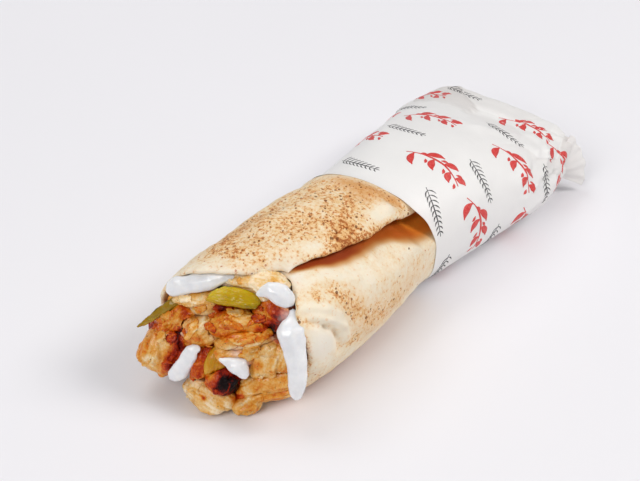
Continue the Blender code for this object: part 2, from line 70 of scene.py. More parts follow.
# The flatbread.
BREAD_THICKNESS = 2.2
BREAD_GAP = 0.9
BREAD_END = 92
BREAD_CORNER = (-49.34, 92.47)   # the bread's lowest x and highest y, which tie this frame to the CAD model
INNER_EDGE = 150
FLAP_EDGE = [(-80, 76), (-62, 73), (-45, 62), (-26, 53.5), (-10, 51), (3, 45), (95, 45)]
EMERGE = [(-80, 74), (-45, 56), (-10, 40), (95, 40)]
POCKET = [(-64, 0), (-40, 1.5), (-20, 3.5), (2, 5.5), (14, 5.5), (40, 2), (60, 0)]
POCKET_SLOPE = 0.8
MOUTH_Y = -82.5
MOUTH_SLANT = 7.5
UNDERCUT = 5
NOTCH_DEPTH = 17.5
NOTCH_ANGLE = 76
NOTCH_WIDTHS = (29, 13)
HIDDEN_MOUTH_Y = -61

# The paper sleeve.
PAPER_THICKNESS = 0.14
MM_PER_DEGREE = 0.53       # round the roll, about
PAPER_EASE = 1.05
PAPER_EDGE_Y = 1.5
PAPER_EDGE_SLANT = 6.5
PAPER_EDGE_TURN = 20
PAPER_END = 116
TAIL_ROOT = (21, 100, 14)
TAIL_TURN = math.radians(66)
TAIL_SPREAD = (-30, 56)
TAIL_REACH = 18

# The mouth's own frame.
MOUTH = np.array((-5, -86, 28))
MOUTH_TURN = math.radians(39)
MOUTH_TILT = math.radians(37)
RIGHT = np.array((math.cos(MOUTH_TURN), math.sin(MOUTH_TURN), 0))
OUT = np.array((
    math.sin(MOUTH_TURN) * math.cos(MOUTH_TILT),
    -math.cos(MOUTH_TURN) * math.cos(MOUTH_TILT),
    math.sin(MOUTH_TILT),
))
UP = np.cross(OUT, RIGHT)

bread_low, bread_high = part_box("flatbread")
SHIFT = np.array((bread_low.x / MM - BREAD_CORNER[0], bread_high.y / MM - BREAD_CORNER[1], 0))

# The camera: the side it stands on, its height, distance and lens, and what it looks at.
CAMERA_TURN = 39
CAMERA_TILT = 37
CAMERA_DISTANCE = 620
CAMERA_LENS = 87.19
CAMERA_TARGET = np.array((-15.58, -15.72, 26.81))


# ---------------------------------------------------------------- numbers and curves

def smooth(t):
    """0 below 0, 1 above 1, and an easy slope between them."""
    t = np.clip(t, 0.0, 1.0)
    return t * t * (3 - 2 * t)


def glide(table, places):
    """The values of a table of stations at many places, along smooth curves through them."""
    table = np.array(table, float)
    stations, values = table[:, 0], table[:, 1:]
    places = np.clip(np.asarray(places, float), stations[0], stations[-1])
    i = np.clip(np.searchsorted(stations, places, side="right") - 1, 0, len(stations) - 2)
    before, after = np.maximum(i - 1, 0), np.minimum(i + 2, len(stations) - 1)
    span = stations[i + 1] - stations[i]
    t = ((places - stations[i]) / span)[..., None]
    slope_in = (span / (stations[i + 1] - stations[before]))[..., None] * (values[i + 1] - values[before])
    slope_out = (span / (stations[after] - stations[i]))[..., None] * (values[after] - values[i])
    return (
        (2 * t**3 - 3 * t**2 + 1) * values[i] + (t**3 - 2 * t**2 + t) * slope_in
        + (3 * t**2 - 2 * t**3) * values[i + 1] + (t**3 - t**2) * slope_out
    )


def lattice(cell, seed):
    """A repeatable value from -1 to 1 for each whole-number cell."""
    n = cell[..., 0] * 374761393 + cell[..., 1] * 668265263 + cell[..., 2] * 1442695041 + seed * 1274126177
    n = n & 0xFFFFFFFF
    n = ((n ^ (n >> 13)) * 1274126177) & 0xFFFFFFFF
    return ((n ^ (n >> 16)) & 0xFFFF) / 32767.5 - 1


def noise(points, size, seed=0):
    """Smooth noise from -1 to 1 at points, with lumps of the given size or sizes."""
    p = np.asarray(points, float) / np.asarray(size, float)
    cell = np.floor(p).astype(np.int64)
    t = p - cell
    t = t * t * (3 - 2 * t)
    total = np.zeros(p.shape[:-1])
    for corner in product((0, 1), repeat=3):
        weight = 1.0
        for k in range(3):
            weight = weight * (t[..., k] if corner[k] else 1 - t[..., k])
        total += weight * lattice(cell + np.array(corner), seed)
    return total


def rough(points, size, seed=0, octaves=3):
    """Noise with finer and fainter noise on top."""
    size = np.asarray(size, float)
    total = sum(noise(points, size / 2**k, seed + k) * 0.5**k for k in range(octaves))
    return total / (2 - 0.5 ** (octaves - 1))


def creased(points, size, seed=0, octaves=2):
    """Noise with sharp valleys, like crumpled paper or torn fibre: 0 in them, up to 1 between."""
    size = np.asarray(size, float)
    return sum(np.abs(noise(points, size / 2**k, seed + k)) * 0.5**k for k in range(octaves))


def warped(points, size, reach, seed):
    """Points shifted about by noise, which makes patterns on them wander."""
    return points + reach * np.stack([noise(points, size, seed + k) for k in range(3)], axis=-1)


def facets(points, size, seed=0):
    """A relief, about -1 to 1, of tilted flats with steps between, their borders, and a tone for each."""
    p = points / np.asarray(size, float)
    base = np.floor(p).astype(np.int64)
    nearest = np.full(p.shape[:-1], 9.0)
    second = nearest.copy()
    height, tone = np.zeros(p.shape[:-1]), np.zeros(p.shape[:-1])
    for offset in product((-1, 0, 1), repeat=3):
        cell = base + np.array(offset)
        away = p - cell - 0.5 - 0.42 * np.stack([lattice(cell, seed + k) for k in range(3)], axis=-1)
        distance = np.sqrt((away**2).sum(axis=-1))
        tilt = np.stack([lattice(cell, seed + 3 + k) for k in range(3)], axis=-1)
        flat = 0.6 * lattice(cell, seed + 6) + (away * tilt).sum(axis=-1)
        height = np.where(distance < nearest, flat, height)
        tone = np.where(distance < nearest, lattice(cell, seed + 7), tone)
        second = np.minimum(second, np.maximum(distance, nearest))
        nearest = np.minimum(nearest, distance)
    return height, 1 - smooth((second - nearest) / 0.16), tone


def roll_height(y):
    lift = PAPER_EASE * smooth((y - LIFT_Y[0]) / (LIFT_Y[1] - LIFT_Y[0]))
    return lift + FLAT_BASE * glide(ROLL, y)[..., 2]


def roll_point(y, degrees, inward):
    """Points of the wrap's section at y, moved toward its centre line by inward."""
    y, degrees, inward = np.broadcast_arrays(*(np.asarray(v, float) for v in (y, degrees, inward)))
    station = glide(ROLL, y)
    half_width, half_height, top = station[..., 1], station[..., 2], station[..., 3]
    c, s = np.cos(np.radians(degrees)), np.sin(np.radians(degrees))
    power = 2 / np.where(s >= 0, top, BASE_SQUARENESS)
    x = half_width * np.sign(c) * np.abs(c) ** power
    z = half_height * np.maximum(np.sign(s) * np.abs(s) ** power, -FLAT_BASE)
    scale = 1 - inward / np.hypot(x, z)
    return np.stack((station[..., 0] + x * scale, y, roll_height(y) + z * scale), axis=-1)


def mouth_point(right, up, out):
    """Points given in the mouth's own frame."""
    right, up, out = (np.asarray(v, float)[..., None] for v in (right, up, out))
    return MOUTH + RIGHT * right + UP * up + OUT * out


def in_mouth(points):
    """Right, up and out of points, in the mouth's own frame."""
    away = points - MOUTH
    return np.stack((away @ RIGHT, away @ UP, away @ OUT), axis=-1)


# ---------------------------------------------------------------- meshes

def mesh_object(name, points, faces, attributes=None):
    """A smooth mesh object from points in millimetres in the wrap's frame."""
    mesh = bpy.data.meshes.new(name)
    flat = (np.asarray(points, float).reshape(-1, 3) + SHIFT) * MM
    mesh.from_pydata(flat.tolist(), [], np.asarray(faces).tolist() if isinstance(faces, np.ndarray) else faces)
    for label, values in (attributes or {}).items():
        layer = mesh.attributes.new(label, "FLOAT", "POINT")
        layer.data.foreach_set("value", np.asarray(values, np.float32).ravel())
    mesh.shade_smooth()
    thing = bpy.data.objects.new(name, mesh)
    bpy.context.scene.collection.objects.link(thing)
    return thing


def weld(thing, distance=0.004):
    """Join points that lie on each other, and turn all faces out."""
    work = bmesh.new()
    work.from_mesh(thing.data)
    bmesh.ops.remove_doubles(work, verts=work.verts, dist=distance * MM)
    bmesh.ops.recalc_face_normals(work, faces=work.faces)
    work.to_mesh(thing.data)
    work.free()
    return thing


def grid_faces(rows, columns, closed=False):
    """Quads between neighbouring points of a grid that is stored row by row."""
    row, column = np.meshgrid(np.arange(rows - 1), np.arange(columns if closed else columns - 1), indexing="ij")
    following = (column + 1) % columns
    return np.stack(
        (row * columns + column, row * columns + following,
         (row + 1) * columns + following, (row + 1) * columns + column), axis=-1,
    ).reshape(-1, 4)


def mesh_points(thing):
    """Points and outward directions of an object's mesh, in the wrap's frame."""
    count = len(thing.data.vertices)
    points, normals = np.zeros(count * 3), np.zeros(count * 3)
    thing.data.vertices.foreach_get("co", points)
    thing.data.vertex_normals.foreach_get("vector", normals)
    return points.reshape(-1, 3) / MM - SHIFT, normals.reshape(-1, 3)


def move_points(thing, points):
    thing.data.vertices.foreach_set("co", ((points + SHIFT) * MM).ravel())
    thing.data.update()


def add_attribute(thing, label, values):
    layer = thing.data.attributes.new(label, "FLOAT", "POINT")
    layer.data.foreach_set("value", np.asarray(values, np.float32).ravel())


def fine_copy(node, name, voxel, smoothing):
    """A finely and evenly meshed copy of a CAD node, somewhat rounded."""
    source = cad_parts[node]
    thing = bpy.data.objects.new(name, source.data.copy())
    bpy.context.scene.collection.objects.link(thing)
    weld(thing)
    remesh = thing.modifiers.new("even", "REMESH")
    remesh.mode = "VOXEL"
    remesh.voxel_size = voxel * MM
    soften = thing.modifiers.new("soften", "SMOOTH")
    soften.factor = 0.5
    soften.iterations = smoothing
    bpy.context.view_layer.update()
    shape = thing.evaluated_get(bpy.context.evaluated_depsgraph_get())
    mesh = bpy.data.meshes.new_from_object(shape)
    mesh.name = name
    mesh.materials.clear()
    mesh.shade_smooth()
    old = thing.data
    thing.modifiers.clear()
    thing.data = mesh
    bpy.data.meshes.remove(old)
    return thing


def settle(thing, look, slot, *nodes):
    """Give a piece its material, hang it under the root, and hide the CAD nodes it stands for."""
    thing.data.materials.clear()
    thing.data.materials.append(look)
    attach(thing, "root")
    if nodes:
        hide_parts(*nodes)
    return thing


# ---------------------------------------------------------------- materials

def linear(colour):
    """A colour given as screen values from 0 to 255, as light."""
    values = [c / 255 for c in colour]
    return (*(v / 12.92 if v <= 0.04045 else ((v + 0.055) / 1.055) ** 2.4 for v in values), 1)


class Look:
    """A node material that is put together a node at a time."""

    def __init__(self, name, roughness=0.5, **settings):
        self.material = bpy.data.materials.new(name)
        self.material.use_nodes = True
        self.nodes = self.material.node_tree.nodes
        self.links = self.material.node_tree.links
        self.shader = self.nodes["Principled BSDF"]
        self.shader.inputs["Roughness"].default_value = roughness
        for label, value in settings.items():
            self.shader.inputs[label.replace("_", " ")].default_value = value
        self.place = self.nodes.new("ShaderNodeTexCoord").outputs["Object"]

    def put(self, socket, value):
        if hasattr(value, "is_output") and value.is_output:
            self.links.new(value, socket)
        else:
            socket.default_value = value

    def math(self, operation, a, b=0.0, c=0.0, clamp=False):
        node = self.nodes.new("ShaderNodeMath")
        node.operation = operation
        node.use_clamp = clamp
        for socket, value in zip(node.inputs, (a, b, c)):
            self.put(socket, value)
        return node.outputs[0]

    def scaled(self, value, factor, offset=0.0):
        return self.math("MULTIPLY_ADD", value, factor, offset)

    def span(self, value, low, high, start=0.0, stop=1.0):
        """Map low..high to start..stop, and hold it there outside."""
        node = self.nodes.new("ShaderNodeMapRange")
        node.interpolation_type = "SMOOTHSTEP"
        for socket, number in zip(node.inputs, (value, low, high, start, stop)):
            self.put(socket, number)
        return node.outputs[0]

    def attribute(self, name):
        node = self.nodes.new("ShaderNodeAttribute")
        node.attribute_name = name
        return node.outputs["Fac"]

    def stretched(self, stretch, turn=(0, 0, 0)):
        """The surface's own place, turned and stretched, for patterns with a grain."""
        node = self.nodes.new("ShaderNodeMapping")
        node.vector_type = "TEXTURE"
        node.inputs["Rotation"].default_value = turn
        node.inputs["Scale"].default_value = stretch
        self.links.new(self.place, node.inputs["Vector"])
        return node.outputs[0]

    def noise(self, size, detail=3, roughness=0.55, place=None, distortion=0.0):
        node = self.nodes.new("ShaderNodeTexNoise")
        node.inputs["Scale"].default_value = 1 / (size * MM)
        node.inputs["Detail"].default_value = detail
        node.inputs["Roughness"].default_value = roughness
        node.inputs["Distortion"].default_value = distortion
        self.links.new(place or self.place, node.inputs["Vector"])
        return node.outputs["Fac"]

    def cells(self, size, place=None, feature="F1", randomness=1.0):
        """Distance to the nearest of scattered points, and a random value for each of them."""
        node = self.nodes.new("ShaderNodeTexVoronoi")
        node.feature = feature
        node.inputs["Scale"].default_value = 1 / (size * MM)
        node.inputs["Randomness"].default_value = randomness
        self.links.new(place or self.place, node.inputs["Vector"])
        return node.outputs["Distance"], node.outputs["Color"] if feature == "F1" else None

    def mix(self, factor, a, b, blend="MIX"):
        node = self.nodes.new("ShaderNodeMix")
        node.data_type = "RGBA"
        node.blend_type = blend
        self.put(node.inputs["Factor"], factor)
        self.put(node.inputs[6], a)
        self.put(node.inputs[7], b)
        return node.outputs[2]

    def ramp(self, factor, stops):
        """Colours, given as screen values, along a factor from 0 to 1."""
        node = self.nodes.new("ShaderNodeValToRGB")
        band = node.color_ramp
        while len(band.elements) < len(stops):
            band.elements.new(0.5)
        for element, (place, colour) in zip(band.elements, stops):
            element.position = place
            element.color = linear(colour)
        self.links.new(factor, node.inputs["Fac"])
        return node.outputs["Color"]

    def specks(self, size, share, sharpness=0.12, place=None):
        """Small spots: 1 inside them, 0 between, where share says how many cells have one."""
        distance, colour = self.cells(size, place)
        pick = self.nodes.new("ShaderNodeSeparateColor")
        self.links.new(colour, pick.inputs[0])
        chosen = self.math("LESS_THAN", pick.outputs[0], share)
        radius = self.scaled(pick.outputs[1], 0.22, 0.14)
        inside = self.span(self.math("SUBTRACT", radius, distance), 0.0, sharpness)
        return self.math("MULTIPLY", inside, chosen)

    def colour(self, value):
        self.put(self.shader.inputs["Base Color"], value)

    def roughness(self, value):
        self.put(self.shader.inputs["Roughness"], value)

    def bump(self, height, depth, strength=1.0):
        """Fine relief: height from 0 to 1, and its depth in millimetres."""
        node = self.nodes.new("ShaderNodeBump")
        node.inputs["Distance"].default_value = depth * MM
        node.inputs["Strength"].default_value = strength
        self.links.new(height, node.inputs["Height"])
        self.links.new(node.outputs[0], self.shader.inputs["Normal"])
        return self


def bread_look():
    """Pale flatbread, mottled and speckled where it touched the griddle, with painted shade and a painted glow in the
    pocket under the flap.
    """
    look = Look(
        "flatbread", roughness=0.65, Subsurface_Weight=0.1, Subsurface_Scale=0.0012, Specular_IOR_Level=0.25,
    )
    look.shader.inputs["Subsurface Radius"].default_value = (1.0, 0.6, 0.35)
    toast = look.attribute("toast")
    cloud = look.noise(6, detail=3)
    crumb = look.noise(2.4, detail=5, roughness=0.7, distortion=0.3)
    grain = look.noise(1.5, detail=4, roughness=0.7)
    heat = look.math("ADD", toast, look.scaled(cloud, 0.7, -0.35))
    fleck = look.noise(1.5, detail=3, roughness=0.75)
    patchy = look.math("ADD", look.scaled(crumb, 0.5, -0.25), look.scaled(fleck, 1.0, -0.5))
    tint = look.math("ADD", heat, look.math("MULTIPLY", patchy, look.span(heat, 0.08, 0.5, 0.45, 1.7)))
    base = look.ramp(tint, [
        (0.0, (242, 230, 207)), (0.2, (239, 219, 187)), (0.45, (235, 202, 154)),
        (0.7, (228, 179, 118)), (0.9, (212, 150, 84)), (1.0, (190, 120, 60)),
    ])
    limit = look.span(heat, 0.0, 0.9, 0.62, 0.5)
    freckle = look.span(look.math("SUBTRACT", grain, limit), -0.01, 0.03)
    freckle_tone = look.ramp(tint, [
        (0.0, (236, 200, 154)), (0.3, (224, 166, 106)), (0.5, (208, 134, 70)), (0.75, (184, 102, 44)),
        (1.0, (150, 74, 30)),
    ])
    base = look.mix(look.math("MULTIPLY", freckle, 0.65), base, freckle_tone)
    golden = look.math("MULTIPLY", look.attribute("tan"), look.span(crumb, 0.3, 0.6, 0.75, 1.0))
    base = look.mix(golden, base, linear((212, 154, 92)))
    spread = look.stretched((1.0, 1.46, 1.0), (0, 0, math.radians(39)))
    for size, low, high, share, strength, tone in (
        (2.2, 0.2, 0.7, 0.5, 0.6, (214, 136, 70)), (1.3, 0.15, 0.6, 0.65, 0.8, (180, 96, 36)),
        (1.5, 0.2, 0.7, 0.6, 0.85, (140, 74, 20)), (1.9, 0.2, 0.65, 0.45, 0.85, (112, 58, 14)),
    ):
        dots = look.specks(size, look.span(heat, low, high, 0.003, share), 0.06, spread)
        base = look.mix(look.math("MULTIPLY", dots, strength), base, linear(tone))
    film = look.attribute("film")
    base = look.mix(film, base, linear((243, 241, 238)))
    # Painted shade in the pocket under the flap: deepening orange-browns, a darker painted core toward the mouth, and a
    # painted orange glow near the paper.
    warm = look.attribute("warm")
    shade = look.ramp(warm, [
        (0.15, (228, 200, 156)), (0.4, (216, 176, 128)), (0.65, (202, 146, 88)), (0.85, (188, 112, 46)),
        (1.0, (184, 88, 12)),
    ])
    shade = look.mix(look.attribute("deep"), shade, linear((150, 56, 4)))
    shade = look.mix(look.attribute("lit"), shade, linear((255, 150, 46)))
    base = look.mix(look.span(warm, 0.0, 0.6), base, shade)
    look.colour(base)
    look.roughness(look.span(film, 0.0, 1.0, 0.65, 0.3))
    height = look.math("ADD", look.scaled(crumb, 0.6), look.scaled(grain, 0.4))
    look.bump(height, 0.4, 0.7)
    return look.material


def paper_look():
    """Thin white greaseproof paper, greyed with painted shade on its folded end and its fan."""
    look = Look("paper", roughness=0.5, Subsurface_Weight=0.2, Subsurface_Scale=0.002)
    look.shader.inputs["Subsurface Radius"].default_value = (1.0, 0.95, 0.9)
    fibre = look.noise(0.5, detail=3)
    cloud = look.noise(18, detail=3)
    base = look.ramp(look.math("ADD", look.scaled(cloud, 0.7), look.scaled(fibre, 0.3)), [
        (0.3, (249, 247, 245)), (0.7, (253, 251, 249)),
    ])
    # Painted shade: grey where folded facets and see-through double layers look darker.
    base = look.mix(look.math("MULTIPLY", look.attribute("layered"), 0.9), base, linear((222, 215, 211)))
    look.colour(base)
    look.bump(fibre, 0.06, 0.4)
    return look.material


def ink_look(name, colour, worn):
    """Printing ink that lets a little of the paper through."""
    look = Look(name, roughness=0.45)
    grain = look.noise(0.9, detail=3)
    look.colour(look.mix(look.span(grain, 0.35, 0.75, 0.0, 0.35), linear(colour), linear(worn)))
    look.bump(grain, 0.02, 0.3)
    return look.material


def sauce_look():
    """Thick white garlic sauce, wet and slightly see-through."""
    look = Look(
        "garlic_sauce", roughness=0.16, Subsurface_Weight=0.5, Subsurface_Scale=0.0015, Coat_Weight=0.3,
        Coat_Roughness=0.08,
    )
    look.shader.inputs["Subsurface Radius"].default_value = (1.0, 0.9, 0.8)
    cream = look.noise(3, detail=3)
    look.colour(look.ramp(cream, [(0.3, (230, 231, 234)), (0.7, (242, 242, 243))]))
    look.bump(look.noise(2.2, detail=2), 0.12, 0.3)
    return look.material


CHICKEN_COLOURS = [
    (0.0, (247, 225, 190)), (0.12, (237, 202, 144)), (0.26, (231, 175, 90)), (0.40, (222, 146, 40)),
    (0.52, (212, 108, 6)), (0.64, (194, 74, 5)), (0.75, (166, 42, 2)), (0.86, (112, 18, 3)),
    (1.0, (18, 2, 2)),
]


def chicken_look():
    """Marinated grilled chicken: pale inside, golden to black where it was seared, and oily."""
    look = Look(
        "chicken", roughness=0.45, Subsurface_Weight=0.15, Subsurface_Scale=0.0012, Coat_Weight=0.5,
        Coat_Roughness=0.14, Specular_IOR_Level=0.1,
    )
    look.shader.inputs["Subsurface Radius"].default_value = (1.0, 0.45, 0.2)
    done = look.attribute("done")
    strand = look.attribute("strand")
    mottle = look.noise(6.5, detail=4, roughness=0.55, distortion=0.8)
    fine = look.noise(0.9, detail=3, roughness=0.7)
    value = look.math("ADD", done, look.scaled(mottle, 0.75, -0.375))
    value = look.math("ADD", value, look.scaled(strand, -0.1, 0.04))
    value = look.math("ADD", value, look.span(fine, 0.36, 0.64, -0.06, 0.06), clamp=True)
    base = look.ramp(value, CHICKEN_COLOURS)
    spice = look.specks(1.1, look.span(done, 0.0, 0.7, 0.06, 0.2))
    base = look.mix(look.math("MULTIPLY", spice, 0.7), base, linear((92, 50, 14)))
    red = look.attribute("red")
    base = look.mix(look.math("MULTIPLY", red, 0.8), base, linear((214, 50, 46)), blend="MULTIPLY")
    film = look.attribute("film")
    base = look.mix(film, base, linear((236, 228, 224)))
    look.colour(base)
    look.roughness(look.span(mottle, 0.35, 0.65, 0.25, 0.6))
    look.put(look.shader.inputs["Coat Weight"], look.span(value, 0.4, 0.85, 0.55, 0.08))
    look.bump(fine, 0.35, 0.7)
    return look.material


def pickle_look(name, flesh, skin, pale):
    """Pickled cucumber: wet, glassy flesh with a darker skin."""
    look = Look(
        name, roughness=0.22, Subsurface_Weight=0.35, Subsurface_Scale=0.003, Coat_Weight=0.25,
        Coat_Roughness=0.06, Specular_IOR_Level=0.2,
    )
    streak = look.attribute("streak")
    fine = look.noise(0.6, detail=3)
    value = look.math("ADD", look.attribute("skin"), look.scaled(streak, 0.3))
    value = look.math("ADD", value, look.scaled(fine, 0.2, -0.1), clamp=True)
    base = look.ramp(value, [(0.0, pale), (0.35, flesh), (0.75, flesh), (1.0, skin)])
    look.colour(base)
    look.bump(look.math("ADD", look.scaled(streak, 0.6), look.scaled(fine, 0.4)), 0.2, 0.5)
    return look.material


def core_look():
    """Oily filling seen between the pieces, darker than most of the chicken: partly its own colour, partly painted
    shade deep in the gaps.
    """
    look = Look("filling", roughness=0.45)
    lump = look.noise(2.4, detail=5, roughness=0.7)
    look.colour(look.ramp(lump, [
        (0.25, (84, 40, 18)), (0.45, (132, 76, 34)), (0.6, (176, 116, 62)), (0.8, (206, 154, 96)),
    ]))
    look.bump(lump, 0.8, 0.8)
    return look.material


# ---------------------------------------------------------------- the flatbread

# Soft ridges (+) and creases (-) in the bread: two ends as degrees and y, half width, height.
BREAD_RIDGES = [
    ((68, -67), (61, -64.5), 2.0, 1.1), ((61, -64.5), (54, -57.5), 2.2, 1.5), ((54, -57.5), (45, -50.4), 2.2, 1.5),
    ((45, -50.4), (33, -43.2), 2.0, 1.2), ((33, -43.2), (22, -39.5), 2.0, 0.8), ((50, -65), (40, -56), 2.6, -1.3),
    ((40, -56), (24, -50), 3.0, -1.2), ((44, -72.5), (30, -63.5), 1.8, 1.5), ((30, -63.5), (20, -58.5), 1.8, 1.5),
    ((31, -70), (20, -64), 1.5, 1.0), ((20, -64), (10, -58.5), 1.5, 1.3), ((10, -58.5), (0, -56.5), 1.6, 1.1),
    ((26, -71), (16, -65.5), 1.5, -1.5), ((16, -65.5), (5, -61), 1.5, -1.6), ((5, -61), (-6, -60), 1.8, -1.1),
    ((22, -57), (8, -50), 2.6, -0.9), ((2, -50), (-12, -38), 3.0, 0.7), ((12, -70), (-4, -70), 3.5, 0.6),
    ((36, -10), (16, 0), 1.3, -0.8), ((30, -12), (12, -3), 1.2, 0.7), ((40, -18), (28, -8), 1.6, 0.6),
    ((70, -6), (50, 2), 2.0, -0.9), ((84, -4.7), (62, -8), 2.4, 0.8), ((24, -36), (14, -22), 4.0, 0.7),
    ((108, -50), (96, -30), 5.0, 0.8), ((86, -62), (74, -50), 4.0, 0.6), ((134, -60), (122, -40), 5.0, -0.6),
]
# Toasted patches: degrees, y, half width in degrees, half length, how much. Negative amounts leave the bread paler;
# those on the ridges at 54, -57; 41, -49; 27, -42 and 30, -65 are painted light on the ridge tops.
BREAD_TOAST = [
    (70, -34, 9, 8, 0.60), (96, -40, 22, 18, 0.38), (126, -40, 16, 24, 0.24), (130, -62, 14, 10, 0.36),
    (104, -16, 26, 10, 0.3), (84, -5, 14, 5, 0.40), (62, 0, 10, 6, 0.3), (94, -70, 16, 9, 0.22),
    (80, -22, 12, 9, 0.3), (74, -7, 10, 5, 0.2), (63, -13, 7, 6, -0.55), (72, -50, 6, 6, -0.28),
    (108, -60, 26, 16, 0.20), (114, -72, 16, 6, 0.22), (84, -44, 20, 12, 0.08), (46, -62, 6, 4, 0.26), (40, -63.5, 3.5, 2.0, 0.5), (34, -54, 8, 5, 0.24),
    (24, -54, 8, 5, 0.22), (12, -50, 9, 5, 0.33), (0, -45, 9, 6, 0.30), (-9, -36, 8, 9, 0.25),
    (32, -30, 14, 12, 0.08), (4, -26, 10, 10, 0.12), (7, -62, 10, 9, -0.12),
    (-5, -54, 5, 5, 0.3), (54, -57, 4, 5, -0.16), (41, -49, 4, 5, -0.14), (27, -42, 5, 5, -0.14),
    (30, -65, 4, 4, -0.16), (8, -69, 11, 7, -0.14), (25, -22, 7, 6, 0.10), (5, -5, 8, 5, 0.14),
    (2, -26, 10, 7, 0.14), (-8, -18, 6, 12, 0.2), (-60, -40, 22, 60, 0.8),
    (180, -40, 26, 30, 0.3), (215, -50, 30, 30, 0.34), (250, -30, 25, 25, 0.3), (118, -59, 6, 6, -0.16),
]
# Smooth golden patches, in the same terms.
BREAD_TAN = [
    (96, -8, 14, 4.5, 0.8), (80, -5.5, 10, 4, 0.75), (66, -1.5, 8, 4, 0.9), (82, -12, 7, 3, 0.45), (128, -58, 18, 10, 0.3),
    (14, -50, 12, 6, 0.22), (0, -44, 10, 8, 0.24), (-9, -32, 9, 12, 0.24), (-4, -16, 10, 12, 0.2),
]
BREAD_PALE = 0.10          # how toasted the bread is elsewhere


# The painted shade in the pocket beside the flap, along the wrap: degrees in full, and degrees to fade over.
WARM_SHADE = [
    (-64, 0, 4), (-52, 2.5, 13), (-45, 4, 16), (-34, 4, 18), (-24, 2, 17), (-16, 7, 17), (-8, 16, 19), (3, 20, 17),
    (20, 20, 17),
]


def mouth_edge(turn):
    """Where the bread begins, for an angle rolled from its hidden inner edge."""
    degrees = INNER_EDGE - turn
    degrees = np.where(degrees < -180, degrees + 360, degrees)
    away = degrees - NOTCH_ANGLE
    width = np.where(away > 0, NOTCH_WIDTHS[1], NOTCH_WIDTHS[0])
    y = MOUTH_Y + MOUTH_SLANT * np.cos(np.radians(degrees))
    y = y + UNDERCUT * np.maximum(-np.sin(np.radians(degrees)), 0)
    y = y + NOTCH_DEPTH * np.exp(-((away / width) ** 2))
    hidden = smooth((INNER_EDGE - NOTCH_ANGLE - turn) / 15)
    return y + (HIDDEN_MOUTH_Y - y) * hidden


def bread_ridges(degrees, y):
    """Height of the named ridges and creases at places on the bread."""
    total = np.zeros(np.shape(y))
    place = np.stack((degrees * MM_PER_DEGREE, y), axis=-1)
    for start, stop, width, height in BREAD_RIDGES:
        a = np.array((start[0] * MM_PER_DEGREE, start[1]))
        b = np.array((stop[0] * MM_PER_DEGREE, stop[1]))
        along = np.clip(((place - a) @ (b - a)) / ((b - a) @ (b - a)), 0, 1)
        away = np.linalg.norm(place - a - along[..., None] * (b - a), axis=-1)
        total += height * np.exp(-((away / width) ** 2))
    return total


def patches(table, degrees, y, start):
    """The sum of soft patches at places on the bread."""
    total = np.full(np.shape(y), start)
    for at, along, width, length, amount in table:
        off = (degrees - at + 180) % 360 - 180
        total += amount * np.exp(-((off / width) ** 2) - ((y - along) / length) ** 2)
    return total


def graded(*spans):
    """Places from 0 on, a few lengths of even steps one after another, as shares of their total."""
    places = [0.0]
    for length, step in spans:
        count = max(round(length / step), 1)
        places += [places[-1] + length * (k + 1) / count for k in range(count)]
    return np.array(places) / places[-1]


